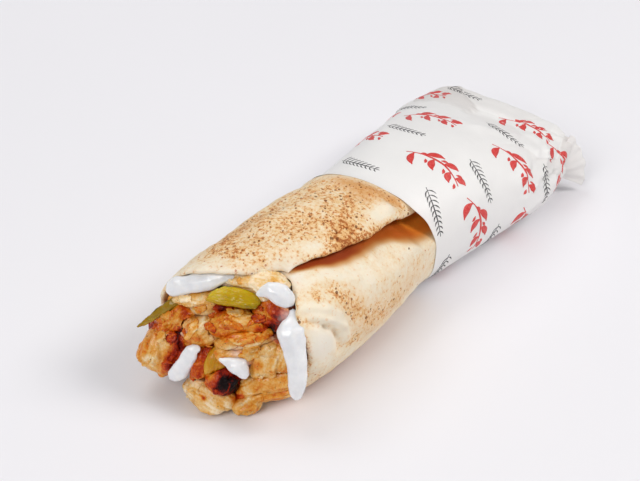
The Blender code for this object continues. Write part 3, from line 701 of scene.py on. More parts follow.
def flatbread():
    along = graded((0.3, 0.08), (0.9, 0.2), (94, 0.85), (79, 4))
    around = graded((0.3, 0.1), (1.2, 0.4), (40, 1.6), (206, 0.9), (1.2, 0.25), (0.4, 0.08))
    share, step = np.meshgrid(along, around, indexing="ij")
    y = np.full(share.shape, float(MOUTH_Y))
    for _ in range(5):
        edge = glide(FLAP_EDGE, y)[..., 0] + 0.5 * np.sin(y * 0.31) + 0.3 * np.sin(y * 0.83 + 1)
        turn = (INNER_EDGE - edge + 360) * step
        start = mouth_edge(turn)
        start = start + 0.5 * np.sin(turn * 0.14) + 0.35 * np.sin(turn * 0.37 + 2)
        y = start + (BREAD_END - start) * share
    degrees = INNER_EDGE - turn
    covered = INNER_EDGE - edge
    emerge = glide(EMERGE, y)[..., 0]
    under = smooth((covered + emerge - turn) / emerge)
    dip = glide(POCKET, y)[..., 0] * smooth(turn / (POCKET_SLOPE * covered))
    inward = under * (BREAD_THICKNESS + BREAD_GAP + dip)
    visible = np.where(degrees < -180, degrees + 360, degrees)
    lip = smooth((visible + 60) / 40) * smooth((96 - visible) / 14)
    inward = inward + 3.2 * lip * np.exp(-(y - start) / 7)
    from_flap = (1 - step) * (INNER_EDGE - edge + 360) * MM_PER_DEGREE
    inward = inward + (0.4 + 1.3 * smooth((y + 55) / 30)) * np.exp(-from_flap / 2.6)

    flat = roll_point(y, degrees, inward)
    relief = 0.5 * rough(flat, 15, 1) + 0.22 * rough(flat, 5.5, 5)
    relief += 0.3 * smooth((noise(flat, 4.2, 9) - 0.15) / 0.6)
    ridges = bread_ridges(visible, y) * (1 - under)
    relief += ridges
    relief *= smooth((paper_start(degrees) + 4 - y) / 12) * smooth(flat[..., 2] / 6) * 0.9 + 0.1
    relief -= 0.4 * smooth((-2 - y) / 14)

    to_mouth = (y - start)
    to_hidden = step * (INNER_EDGE - edge + 360) * MM_PER_DEGREE
    full = BREAD_THICKNESS - 0.7 * np.exp(-from_flap / 5) - 0.4 * np.exp(-to_mouth / 4)
    nearest = np.minimum(np.minimum(to_mouth, from_flap), np.minimum(to_hidden, BREAD_END - y))
    rim = np.clip(nearest / (full * 0.55), 0, 1)
    thickness = full * np.sqrt(1 - (1 - rim) ** 2)
    middle = BREAD_THICKNESS - full / 2
    sheets = []
    for side in (-0.5, 0.5):
        sheets.append(roll_point(y, degrees, inward - relief + middle + side * thickness))
    points = np.concatenate([sheet.reshape(-1, 3) for sheet in sheets])
    points[:, 2] = np.maximum(points[:, 2], 0.02)
    rows, columns = share.shape
    faces = grid_faces(rows, columns)
    faces = np.concatenate((faces, faces[:, ::-1] + rows * columns))

    # Paler on the ridges and darker in the creases: painted light on the ridge tops and painted shade in the creases.
    toast = patches(BREAD_TOAST, visible, y, BREAD_PALE) - 0.13 * ridges
    hidden_under = (turn < covered)
    toast = np.where(hidden_under, 0.24, toast)
    # The flap's curled rim is darker: partly toast, partly painted shade where the rim rolls under.
    rim_toast = 0.25 * np.exp(-from_flap / 0.9) + 0.5 * np.exp(-((from_flap / 5) ** 2))
    toast = toast + rim_toast * smooth((y + 66) / 26) * (1 - 0.7 * smooth((y + 18) / 12))
    toast = toast + 0.5 * lip * smooth((56 - visible) / 14) * np.exp(-to_mouth / 0.8)
    tan = patches(BREAD_TAN, visible, y, 0.0) * (1 - hidden_under)
    # Painted shade in the pocket under the flap: full just past the flap's edge and fading further round, with a darker
    # painted core toward the mouth and a painted orange glow near the paper, where light comes through the thin flap.
    beyond = np.maximum(turn - covered, 0)
    shade = glide(WARM_SHADE, y)
    warm = smooth(1 - (beyond - shade[..., 0]) / shade[..., 1]) * smooth((y + 66) / 8)
    deep = smooth((-24 - y) / 14) * smooth((warm - 0.6) / 0.4)
    lit = smooth((y + 2.5) / 5) * (1 - 0.7 * smooth((beyond - 8) / 12)) * smooth((warm - 0.6) / 0.4)
    film = 0.15 * np.exp(-((visible - 96) / 32) ** 2) * np.exp(-(to_mouth / 3.2) ** 2)
    film += 0.5 * np.exp(-((visible - 68) / 9) ** 2) * np.exp(-(to_mouth / 5) ** 2)
    film += 0.4 * np.exp(-((visible - 8) / 12) ** 2) * np.exp(-((y + 69) / 8) ** 2)
    double = {
        "toast": np.concatenate((toast.ravel(), np.clip(toast.ravel() * 0.4 + 0.1, 0, 1))),
        # The inner face takes a little painted pocket shade all over.
        "warm": np.concatenate((warm.ravel(), warm.ravel() * 0 + 0.2)),
        "deep": np.concatenate((deep.ravel(), deep.ravel() * 0)),
        "tan": np.concatenate((tan.ravel(), tan.ravel() * 0)),
        "lit": np.concatenate((lit.ravel(), lit.ravel() * 0)),
        "film": np.concatenate((film.ravel(), film.ravel())),
    }
    bread = weld(mesh_object("rolled_flatbread", points, faces, double), 0.01)
    return settle(bread, bread_look(), "bread", "flatbread")


# ---------------------------------------------------------------- the paper and its print

# Sharp folds in the paper, standing out (+) or pressed in (-): two ends as degrees and y,
# half width, height.
PAPER_CREASES = [
    ((118, 108), (84, 70), 9, 0.9), ((84, 70), (66, 30), 7, 0.35), ((60, 112), (48, 84), 8, 1.5),
    ((48, 84), (20, 60), 7, 0.8), ((34, 110), (22, 84), 7, -1.3), ((22, 84), (4, 70), 6, -0.8),
    ((150, 100), (122, 82), 9, -0.8), ((96, 112), (90, 88), 8, -0.9), ((70, 96), (40, 104), 6, -1.0),
    ((140, 60), (112, 30), 10, 0.5), ((12, 100), (-10, 60), 7, 0.9), ((30, 40), (8, 16), 8, 0.45),
    ((54, 62), (30, 46), 8, -0.4), ((64, 93), (44, 90), 4, 1.3), ((44, 90), (20, 81), 5, 1.6),
    ((20, 81), (4, 62), 5, 1.1), ((52, 82), (26, 72), 4, -0.9), ((12, 90), (2, 74), 4, -1.0),
    ((66, 87), (84, 70), 5, 0.8), ((-20, 104), (-50, 60), 9, 0.8), ((170, 90), (200, 40), 10, 0.7),
]


def paper_creases(degrees, y):
    """How far the named folds lift the paper, with a sharp line along each."""
    total = np.zeros(np.shape(y))
    place = np.stack((degrees * MM_PER_DEGREE, y), axis=-1)
    for start, stop, width, height in PAPER_CREASES:
        a = np.array((start[0] * MM_PER_DEGREE, start[1]))
        b = np.array((stop[0] * MM_PER_DEGREE, stop[1]))
        along = np.clip(((place - a) @ (b - a)) / ((b - a) @ (b - a)), 0, 1)
        away = np.linalg.norm(place - a - along[..., None] * (b - a), axis=-1)
        total += height * np.maximum(1 - away / width, 0) ** 1.5
    return total


def end_folds(degrees, y):
    """The flats that the paper breaks into toward its folded end, and how strongly."""
    flat = np.stack((degrees * MM_PER_DEGREE, y, np.zeros(np.shape(y))), axis=-1)
    height, seams, tone = facets(warped(flat, 20, 3, 61), (17, 24, 20), 65)
    return height, seams, tone, smooth((y - 56) / 46)


def paper_height(degrees, y, start):
    """How far the paper stands out from the roll: soft folds, and sharp creases toward the end."""
    flat = roll_point(y, degrees, 0)
    far = smooth((y - 20) / 80)
    along = np.radians(degrees)
    wave = np.sin(3 * along + 0.05 * y) + 0.6 * np.sin(7 * along - 0.09 * y + 1.3)
    soft = (0.25 + 0.9 * far) * (wave + 1.6) / 3.2
    sharp = creased(flat, (26, 34, 22), 21, 2) * (0.35 + 1.0 * far)
    fine = creased(flat, (9, 12, 9), 25, 2) * (0.1 + 0.3 * far)
    folds, seams, _, strength = end_folds(degrees, y)
    sharp = sharp + strength * (1.3 * folds - 0.35 * seams)
    settle_in = smooth((y - start) / 12)
    return 0.36 + 0.7 * settle_in + (soft + sharp + fine - 0.5) * (0.15 + 0.85 * settle_in) + paper_creases(degrees, y)


def paper_start(degrees):
    slant = PAPER_EDGE_SLANT * np.cos(np.radians(degrees + PAPER_EDGE_TURN))
    return PAPER_EDGE_Y + slant + 0.35 * np.sin(np.radians(degrees) * 5) + 0.2 * np.sin(np.radians(degrees) * 13)


def paper_point(degrees, y, above=0.0):
    """Points on the paper's outer face, at an angle round the wrap and a place along it."""
    out = paper_height(degrees, y, paper_start(degrees)) + above
    points = roll_point(y, degrees, -np.maximum(out, 0.2 + above))
    points[..., 2] = np.maximum(points[..., 2], 0.03 + above)
    return points


def paper_sleeve():
    columns = 300
    rows = graded((0.4, 0.2), (112, 0.9))
    share, column = np.meshgrid(rows, np.arange(columns), indexing="ij")
    degrees = 180 - 360 * column / columns
    start = paper_start(degrees)
    y = start + (PAPER_END - start) * share
    outer = paper_point(degrees, y)
    closing = []
    for k in range(1, 12):
        inside = 1 - k / 12
        ring = outer[-1].copy()
        centre = ring.mean(axis=0)
        ring = centre + (ring - centre) * inside
        ring[:, 1] = PAPER_END + 1.2 * math.sin(math.pi / 2 * k / 12) + 0.8 * (1 - inside) * creased(ring, 9, 31)
        closing.append(ring)
    outer = np.concatenate((outer, np.array(closing)))
    middle = outer.mean(axis=(0, 1))
    towards = outer[:, :, [0, 2]] - middle[[0, 2]]
    towards = towards / np.linalg.norm(towards, axis=-1, keepdims=True)
    inner = outer.copy()
    inner[:, :, [0, 2]] -= towards * PAPER_THICKNESS
    inner[len(rows):, :, 1] -= PAPER_THICKNESS
    inner[..., 2] = np.maximum(inner[..., 2], 0.02)
    total = outer.shape[0]
    faces = grid_faces(total, columns, closed=True)
    rim = grid_faces(2, columns, closed=True)
    rim = np.where(rim >= columns, rim - columns + total * columns, rim)[:, ::-1]
    faces = np.concatenate((faces, faces[:, ::-1] + total * columns, rim))
    last = (total - 1) * columns
    caps = [list(range(last, last + columns)), [total * columns + k for k in range(last + columns - 1, last - 1, -1)]]
    # Painted shade toward the folded end: a grey tone for each facet, deeper on higher facets, and an even grey on the
    # closing caps.
    folds, seams, tone, strength = end_folds(degrees, y)
    grey = np.zeros(outer.shape[:2])
    grey[:len(rows)] = strength * np.clip(0.1 + 0.7 * tone + 0.3 * folds, 0, 1)
    grey[len(rows):] = 0.4
    points = np.concatenate((outer.reshape(-1, 3), inner.reshape(-1, 3)))
    layered = {"layered": np.concatenate((grey.ravel(), grey.ravel()))}
    sleeve = mesh_object("paper_wrapping", points, faces.tolist() + caps, layered)
    weld(sleeve, 0.001)
    return settle(sleeve, paper_look(), "paper", "paper_sleeve")


def paper_fan():
    """The loose pleated paper at the folded end."""
    rows, columns = 28, 120
    away = np.array((math.cos(TAIL_TURN), math.sin(TAIL_TURN), 0))
    aside = np.array((away[1], -away[0], 0))
    reach, share = np.meshgrid(np.linspace(0, 1, rows), np.linspace(0, 1, columns), indexing="ij")
    angle = np.radians(TAIL_SPREAD[0] + (TAIL_SPREAD[1] - TAIL_SPREAD[0]) * share)
    fold = np.abs((share * 5.5 + 0.2) % 1 - 0.5) * 4 - 1
    edge = 1 + 0.07 * np.sin(5 * share + 1) + 0.025 * np.sin(23 * share)
    place = np.stack((reach * 18, share * 20, reach * 0), axis=-1)
    sheet = (
        np.array(TAIL_ROOT) + np.array((0, 0, 3.0)) * (share - 0.5)[..., None]
        + (away * np.cos(angle)[..., None] + np.array((0, 0, 1.0)) * np.sin(angle)[..., None])
        * (TAIL_REACH * reach * edge)[..., None]
        + aside * (fold * 0.2 * reach + 2.6 * noise(place, 7, 41) * reach)[..., None]
    )
    points = np.concatenate((sheet.reshape(-1, 3), (sheet + aside * 0.12).reshape(-1, 3)))
    points[:, 2] = np.maximum(points[:, 2], 0.1)
    faces = grid_faces(rows, columns)
    border = [row * columns for row in range(rows)] + [(rows - 1) * columns + k for k in range(1, columns)]
    border += [row * columns + columns - 1 for row in range(rows - 2, -1, -1)]
    border += list(range(columns - 2, 0, -1))
    rim = [(a, b, b + rows * columns, a + rows * columns) for a, b in zip(border, border[1:] + border[:1])]
    # Painted shade: the loose fan is greyed all over, unevenly.
    layered = np.clip(0.6 + 0.3 * noise(points, 5, 45), 0, 1)
    faces = faces.tolist() + (faces[:, ::-1] + rows * columns).tolist() + rim
    fan = mesh_object("paper_fan", points, faces, {"layered": layered})
    weld(fan, 0.001)
    return settle(fan, bpy.data.materials["paper"], "paper")


# The print: red sprigs and black needle twigs, as angle round the wrap, y, and turn in degrees.
SPRIGS = [
    (72, 28, -14), (142, 31, -10), (4, 30, -12), (104, 62, -12), (40, 64, -16), (172, 62, -8), (-30, 62, -10),
    (74, 97, -14), (140, 94, -10), (8, 96, -12), (210, 28, -10), (250, 60, -10), (224, 92, -10), (290, 28, -10),
]
TWIGS = [
    (107, 45, 4), (40, 43, -4), (172, 46, 6), (-28, 44, 0), (73, 80, 2), (138, 77, 4), (6, 80, -2),
    (106, 107, 4), (228, 44, 0), (256, 76, 0), (108, 11, 3), (36, 13, -6), (-30, 14, 0),
]
SPRIG_SIZE = 1.35


def printed(strokes, places):
    """Points and faces of thin strips on the paper: strokes of (across, along, half width) rows."""
    points, faces = [], []
    lanes = np.array((-1, -0.5, 0, 0.5, 1, 1, 0.5, 0, -0.5, -1))
    above = np.array((0.07,) * 5 + (-0.06,) * 5)
    for at, along, turn in places:
        degrees = np.linspace(at - 80, at + 80, 321)
        ring = paper_point(degrees, np.full(321, float(along)))
        arc = np.concatenate(([0], np.cumsum(np.linalg.norm(np.diff(ring, axis=0), axis=1))))
        arc -= arc[160]
        c, s = math.cos(math.radians(turn)), math.sin(math.radians(turn))
        for stroke in strokes:
            stroke = np.array(stroke, float)
            heading = np.gradient(stroke[:, :2], axis=0)
            heading /= np.linalg.norm(heading, axis=1, keepdims=True)
            aside = np.stack((-heading[:, 1], heading[:, 0]), axis=1)
            flat = stroke[:, None, :2] + aside[:, None] * stroke[:, None, 2:3] * lanes[None, :, None]
            u = flat[..., 0] * c - flat[..., 1] * s
            v = flat[..., 0] * s + flat[..., 1] * c
            round_wrap = np.interp(u, -arc[::-1], degrees[::-1])
            place = paper_point(round_wrap, along + v, above[None, :])
            first, rows = len(points), len(stroke)
            points += place.reshape(-1, 3).tolist()
            faces += (grid_faces(rows, 10, closed=True) + first).tolist()
            faces += [list(range(first, first + 10)), list(range(first + rows * 10 - 1, first + rows * 10 - 11, -1))]
    return points, faces


def curve(start, stop, bend, width, steps=14, tip=0.15):
    """A bowed stroke that thins toward both ends."""
    t = np.linspace(0, 1, steps)
    start, stop = np.array(start, float), np.array(stop, float)
    aside = np.array((-(stop - start)[1], (stop - start)[0])) * bend
    line = start + (stop - start) * t[:, None] + aside * (4 * t * (1 - t))[:, None]
    return np.column_stack((line, width * np.maximum(np.sin(np.pi * t), tip)))


def paper_print():
    stem = curve((-9.5, -2.5), (9.5, 3.0), 0.12, 0.38, 26, 0.4)
    sprig = [stem]
    for i, t in enumerate((0.12, 0.28, 0.44, 0.60, 0.76, 0.9)):
        base = stem[round(t * 25), :2]
        side = 1 if i % 2 else -1
        sprig.append(curve(base, base + np.array((4.4 - 0.3 * i, side * (4.6 - 0.45 * i))), side * 0.16, 1.15))
        sprig.append(curve(base + (1.4, -side * 1.2), base + (3.0, -side * 2.6), 0.1, 0.5, 8))
    points, faces = printed([stroke * SPRIG_SIZE for stroke in sprig], SPRIGS)
    red = weld(mesh_object("paper_print_red", points, faces), 0.0005)
    settle(red, ink_look("print_red", (210, 48, 46), (236, 132, 124)), "paper")

    stalk = curve((-10.5, 1.5), (10.5, -1.5), -0.06, 0.26, 30, 0.5)
    twig = [stalk]
    for i in range(2, 28, 3):
        base = stalk[i, :2]
        for side in (-1, 1):
            needle = 3.4 - 0.06 * i
            twig.append(curve(base, base + np.array((0.8 * needle, side * 0.8 * needle)), side * 0.14, 0.27, 7, 0.3))
    points, faces = printed(twig, TWIGS)
    black = weld(mesh_object("paper_print_black", points, faces), 0.0005)
    settle(black, ink_look("print_black", (52, 50, 54), (120, 118, 122)), "paper")


# ---------------------------------------------------------------- the filling

# Where the chicken was seared (+) or stayed pale (-): right, up, radius, how much.
SEARED = [
    (-15.4, 11.0, 3.2, 0.0), (-19.0, 8.1, 2.6, 0.18), (-12.4, 8.8, 2.0, 0.18), (-15.6, 4.4, 2.6, -0.20),
    (-26.4, -4.4, 4.0, -0.08), (-16.6, 0.7, 3.0, 0.46), (-16.4, -2.9, 3.0, 0.52), (-18.6, -7.3, 3.0, 0.50),
    (-20.6, -10.6, 2.6, 0.38), (-26.4, 3.4, 2.2, 0.25), (-8.0, 14.0, 3.6, -0.06), (1.5, 10.3, 3.0, 0.22),
    (-8.8, 6.8, 2.6, -0.16), (-9.5, 0.2, 2.8, 0.16), (-2.2, 5.1, 2.4, 0.10), (6.6, 7.6, 3.4, -0.14),
    (13.2, 4.4, 2.6, 0.16), (18.6, 2.6, 2.4, 0.34), (2.2, 1.6, 2.0, 0.22), (9.0, 2.4, 2.4, 0.18),
    (6.6, -1.4, 3.2, -0.10), (16.9, 10.3, 3.0, 0.02), (19.4, 5.9, 2.6, 0.24), (14.2, 12.2, 2.4, 0.02),
    (22.0, 8.0, 2.4, 0.10), (12.5, 21.3, 6.0, -0.06), (20.0, 19.6, 2.2, 0.22), (18.4, -5.9, 4.0, -0.06),
    (15.4, -16.1, 4.5, 0.02), (6.2, -17.5, 2.4, 0.36), (22.0, -20.4, 5.0, 0.08), (5.4, -22.4, 2.2, 0.34),
    (-5.1, -20.6, 4.0, -0.06), (-7.7, -22.4, 1.2, 0.44), (-11.7, -16.1, 2.6, -0.06), (2.2, -16.4, 3.0, 0.26),
    (-4.4, -12.8, 2.0, -0.30), (-5.8, -3.7, 2.0, 0.24), (14.0, -9.6, 1.6, 0.18), (21.4, -1.2, 2.0, 0.10),
]
# Where the marinade is deep red: right, up, radius, how much.
REDDENED = [
    (1.5, -14.7, 5.0, 0.6), (-8.0, -7.0, 3.0, 0.35), (-17.0, -4.0, 3.4, 0.40), (-19.6, -9.0, 3.0, 0.40),
    (19.0, 4.5, 3.0, 0.20), (5.4, -22.4, 2.4, 0.30), (-26.4, 0.0, 3.0, 0.30), (-13.0, 8.6, 2.4, 0.30),
]
# Where a film of sauce lies on it.
FILMED = [(-13.4, 2.0, 1.8, 0.4), (-16.0, -12.4, 1.6, 0.4), (19.4, 0.6, 1.6, 0.35), (24.6, 9.0, 2.4, 0.6), (5.4, -4.6, 2.2, 0.5), (9.6, -8.6, 1.8, 0.6), (1.0, 19.6, 2.0, 0.3)]
# Each piece of chicken: the way its fibres run in the mouth's plane in degrees, how done it is,
# how craggy it is, how deep its strands are, and how broken its surface is.
CHICKEN = {
    "chicken_char": (20, 0.71, 0.8, 0.0, 0.5), "chicken_crown": (-10, 0.09, 0.2, 0.3, 0.35),
    "chicken_crust": (-30, 0.52, 0.9, 0.1, 0.8), "chicken_fold": (25, 0.24, 0.06, 0.7, 0.25),
    "chicken_cheek": (70, 0.24, 0.06, 0.4, 0.45), "chicken_heel": (28, 0.20, 0.12, 0.7, 0.4),
    "chicken_fold_low": (12, 0.26, 0.15, 0.8, 0.5), "chicken_band_mid": (8, 0.25, 0.1, 0.7, 0.5),
    "chicken_band_top": (-14, 0.35, 0.12, 0.6, 0.6), "chicken_band_low": (4, 0.29, 0.12, 0.5, 0.6),
    "chicken_cube": (60, 0.31, 0.25, 0.2, 0.6), "chicken_base": (-30, 0.18, 0.12, 0.3, 0.3),
    "chicken_slab": (60, 0.27, 0.3, 0.2, 0.8), "chicken_lobe": (40, 0.44, 0.35, 0.3, 0.9),
    "chicken_rim": (60, 0.54, 0.5, 0.2, 0.8), "chicken_shelf": (0, 0.22, 0.2, 0.3, 0.7),
    "chicken_sliver": (70, 0.50, 0.2, 0.6, 0.5), "chicken_flake": (10, 0.62, 0.9, 0.1, 0.8),
}
CHICKEN_SLOTS = {"chicken_char": "chicken_charred"}
BROWNED = {
    "chicken_flake", "chicken_crust", "chicken_lobe", "chicken_rim", "chicken_band_top",
    "chicken_sliver", "chicken_heel",
}
CLOSE_GAP = 0.5            # the pieces grow by this, so that they touch


# Where a piece reaches over a gap beside it: right, up, radius, and how far right and up it is drawn.
REACHES = {"chicken_crown": (3, 19.8, 4, -4, -0.3), "sauce_drip": (28.5, 6, 6, 1.8, 0)}


def reached(node, points):
    """Points of a piece, drawn over the gap beside it where it has one."""
    if node not in REACHES:
        return points
    at_right, at_up, radius, right, up = REACHES[node]
    place = in_mouth(points)
    pull = np.exp(-((place[:, 0] - at_right) ** 2 + (place[:, 1] - at_up) ** 2) / radius**2)
    return points + pull[:, None] * (RIGHT * right + UP * up)


def spots(place, table):
    """The sum of soft spots at places in the mouth's frame."""
    total = np.zeros(len(place))
    for right, up, radius, amount in table:
        away = (place[:, 0] - right) ** 2 + (place[:, 1] - up) ** 2
        total += amount * np.exp(-away / radius**2)
    return total


def along_fibres(place, fibre):
    """Places in the mouth's frame, turned so that the first axis runs along the fibres."""
    turn = math.radians(fibre)
    return np.stack((
        place[:, 0] * math.cos(turn) + place[:, 1] * math.sin(turn),
        place[:, 1] * math.cos(turn) - place[:, 0] * math.sin(turn),
        place[:, 2],
    ), axis=-1)


def chicken_piece(node, traits, seed, look):
    fibre, done, crag, strands, breaks = traits
    thing = fine_copy(node, node.replace("chicken", "meat"), 0.42, 3)
    points, normals = mesh_points(thing)
    place = in_mouth(points)
    grain = along_fibres(warped(place, 7, 1.8, seed + 51), fibre)
    chunk = rough(grain, (8, 5, 5.5), seed, 2)
    broken, seams, patch = facets(grain, (13, 7, 8), seed + 81)
    splinters, cracks, sliver = facets(grain, (9, 2.6, 3.4), seed + 91)
    tear = creased(grain, (11, 3.2, 4.4), seed + 11, 2) - 0.6
    strand = creased(grain, (10, 1.3, 2.0), seed + 23, 1)
    crumble = rough(warped(points, 3, 0.8, seed + 61), 2.0, seed + 31, 3)
    out = CLOSE_GAP + 0.7 * chunk + breaks * (1.5 * broken - 0.2 * seams + 0.5 * splinters) + 0.3 * tear
    out += (0.15 + strands) * (strand - 0.4) + crag * crumble - 0.1 * cracks
    out += 0.08 * noise(points, 0.8, seed + 5)
    points = reached(node, points + normals * out[:, None])
    points[:, 2] = np.maximum(points[:, 2], 0.05)
    move_points(thing, points)
    wandering = warped(place, 3.5, 1.3, seed + 71)
    value = done + spots(wandering, SEARED) * (1.05 + 0.4 * rough(grain, (3, 1.5, 2), seed + 41))
    value += 0.12 * rough(grain, (9, 1.6, 2.4), seed + 43) - 0.06 * tear - 0.14 * (strands + 0.3) * (strand - 0.4)
    value += 0.06 * broken + 0.07 * patch + 0.05 * splinters + 0.03 * sliver + 0.02 * seams
    add_attribute(thing, "done", np.clip(value, 0, 1))
    add_attribute(thing, "red", np.clip(spots(wandering, REDDENED), 0, 1))
    add_attribute(thing, "strand", np.clip(strand, 0, 1))
    add_attribute(thing, "film", np.clip(spots(wandering, FILMED), 0, 0.8))
    slot = CHICKEN_SLOTS.get(node, "chicken_browned" if node in BROWNED else "chicken")
    return settle(thing, look, slot, node)


def sauce_piece(node, seed, look):
    thing = fine_copy(node, node.replace("sauce", "dressing"), 0.4, 8)
    points, normals = mesh_points(thing)
    out = 0.15 + 0.85 * rough(points, 6, seed, 2) + 0.1 * rough(points, 2.6, seed + 9, 2)
    move_points(thing, reached(node, points + normals * out[:, None]))
    return settle(thing, look, "sauce", node)


def pickle_piece(node, seed, look, skin_side, fibre, slim=1.0):
    """skin_side is the direction, in the mouth's plane, in which the skin lies."""
    thing = fine_copy(node, node.replace("pickle", "gherkin"), 0.35, 3)
    points, normals = mesh_points(thing)
    grain = along_fibres(warped(in_mouth(points), 6, 1.0, seed + 51), fibre)
    streak = creased(grain, (8, 1.3, 1.6), seed + 7, 2)
    out = 0.3 + 0.35 * rough(points, 4, seed, 3) + 0.4 * (streak - 0.5) + 0.1 * noise(points, 0.9, seed + 3)
    points = points + normals * out[:, None]
    across = UP * math.cos(math.radians(fibre)) - RIGHT * math.sin(math.radians(fibre))
    off_axis = (points - points.mean(axis=0)) @ across
    points -= across * (off_axis * (1 - slim))[:, None]
    move_points(thing, points)
    side = in_mouth(points)[:, :2] @ np.array(skin_side)
    side = (side - side.min()) / (side.max() - side.min())
    add_attribute(thing, "skin", side)
    add_attribute(thing, "streak", np.clip(streak, 0, 1) - 0.5)
    return settle(thing, look, "pickle", node)


# The pieces that lie bare, without flakes.
BARE = ("meat_char", "meat_crown", "meat_fold", "meat_cheek", "meat_base", "meat_heel")


def flakes(pieces, blockers, count, look):
    """Torn flat flakes of chicken draped over the pieces, as one mesh."""
    depsgraph = bpy.context.evaluated_depsgraph_get()
    trees = [BVHTree.FromObject(piece, depsgraph) for piece in pieces]
    covers = [BVHTree.FromObject(piece, depsgraph) for piece in blockers]
    tones = []
    for piece in pieces:
        tone = np.zeros(len(piece.data.vertices))
        piece.data.attributes["done"].data.foreach_get("value", tone)
        tones.append(tone)
    fibres = [traits[0] for traits in CHICKEN.values()]

    def surface(right, up):
        """Distance from the chicken to a plane in front of the mouth, and the piece and face hit."""
        start = Vector(((mouth_point(right, up, 60) + SHIFT) * MM).tolist())
        way = Vector((-OUT).tolist())
        hits = [(tree.ray_cast(start, way), k) for k, tree in enumerate(trees)]
        hits = [(hit[3] / MM, k, hit[2]) for hit, k in hits if hit[0] is not None]
        if not hits:
            return None
        best = min(hits)
        hidden = any(
            hit[0] is not None and hit[3] / MM < best[0] + 0.5 for hit in (tree.ray_cast(start, way) for tree in covers)
        )
        return None if hidden else best

    spin = random.Random(23)
    rows, columns = 19, 11
    points, faces, values, made = [], [], [], 0
    while made < count:
        right, up = spin.uniform(-27, 25), spin.uniform(-27, 22)
        fibre, length, width = spin.uniform(-25, 25), spin.uniform(4.5, 9.5), spin.uniform(1.1, 2.4)
        tint, bend = spin.uniform(-0.2, 0.2), spin.uniform(-0.15, 0.15)
        if (right / 28) ** 2 + (up / 28) ** 2 > 1:
            continue
        middle = surface(right, up)
        if middle is None or pieces[middle[1]].name in BARE:
            continue
        heading = math.radians(fibres[middle[1]] + fibre)
        c, s = math.cos(heading), math.sin(heading)
        along, across = np.meshgrid(np.linspace(-1, 1, rows), np.linspace(-1, 1, columns), indexing="ij")
        ragged = noise(np.stack((along * 6 + 40 * made, across * 0.6, across * 0), axis=-1), 1.3, 71)
        reach = width * (1 - along**2) ** 0.4 * (1 + 0.35 * ragged)
        u = along * length / 2 * (1 + 0.1 * ragged)
        v = across * reach + bend * length * along**2
        places = np.stack((right + u * c - v * s, up + u * s + v * c), axis=-1)
        away = np.full((rows, columns), np.nan)
        for row, column in product(range(rows), range(columns)):
            found = surface(*places[row, column])
            if found is not None:
                away[row, column] = found[0]
        if np.isnan(away).mean() > 0.12:
            continue
        away = np.where(np.isnan(away), middle[0] + 1.0, away)
        away = np.clip(away, middle[0] - 1.6, middle[0] + 1.4)
        for _ in range(2):
            padded = np.pad(away, 1, mode="edge")
            away = (padded[1:-1, 1:-1] * 2 + padded[:-2, 1:-1] + padded[2:, 1:-1] + padded[1:-1, :-2]
                    + padded[1:-1, 2:]) / 6
        inside = np.sqrt(np.maximum((1 - along**2) * (1 - across**2), 0))
        first = len(points)
        for lift in (0.75 * np.minimum(inside * 2.2, 1), -0.5 * np.minimum(inside * 3, 1)):
            sheet = mouth_point(places[..., 0], places[..., 1], 60 - away + lift - 0.1)
            points += sheet.reshape(-1, 3).tolist()
        sheet_faces = grid_faces(rows, columns)
        faces += (sheet_faces + first).tolist() + (sheet_faces[:, ::-1] + first + rows * columns).tolist()
        under = tones[middle[1]][pieces[middle[1]].data.polygons[middle[2]].vertices[0]]
        tone = np.clip(under + tint + 0.2 * (1 - inside) ** 3, 0, 0.8).ravel()
        values += np.concatenate((tone, tone)).tolist()
        made += 1
    points = np.array(points)
    shift = 0.16 * np.stack([noise(points, 1.3, 940 + k) for k in range(3)], axis=-1)
    points += shift + 0.10 * np.stack([noise(points, 0.7, 950 + k) for k in range(3)], axis=-1)
    place = in_mouth(points)
    strand = np.clip(creased(along_fibres(place, 20), (8, 1.2, 2.0), 961, 1), 0, 1)
    thing = mesh_object("meat_flakes", points, faces, {
        "done": np.clip(np.array(values) + 0.12 * rough(place, 2.5, 963) - 0.15 * (strand - 0.4), 0, 1),
        "red": np.zeros(len(points)), "strand": strand, "film": np.zeros(len(points)),
    })
    weld(thing, 0.0005)
    return settle(thing, look, "chicken")


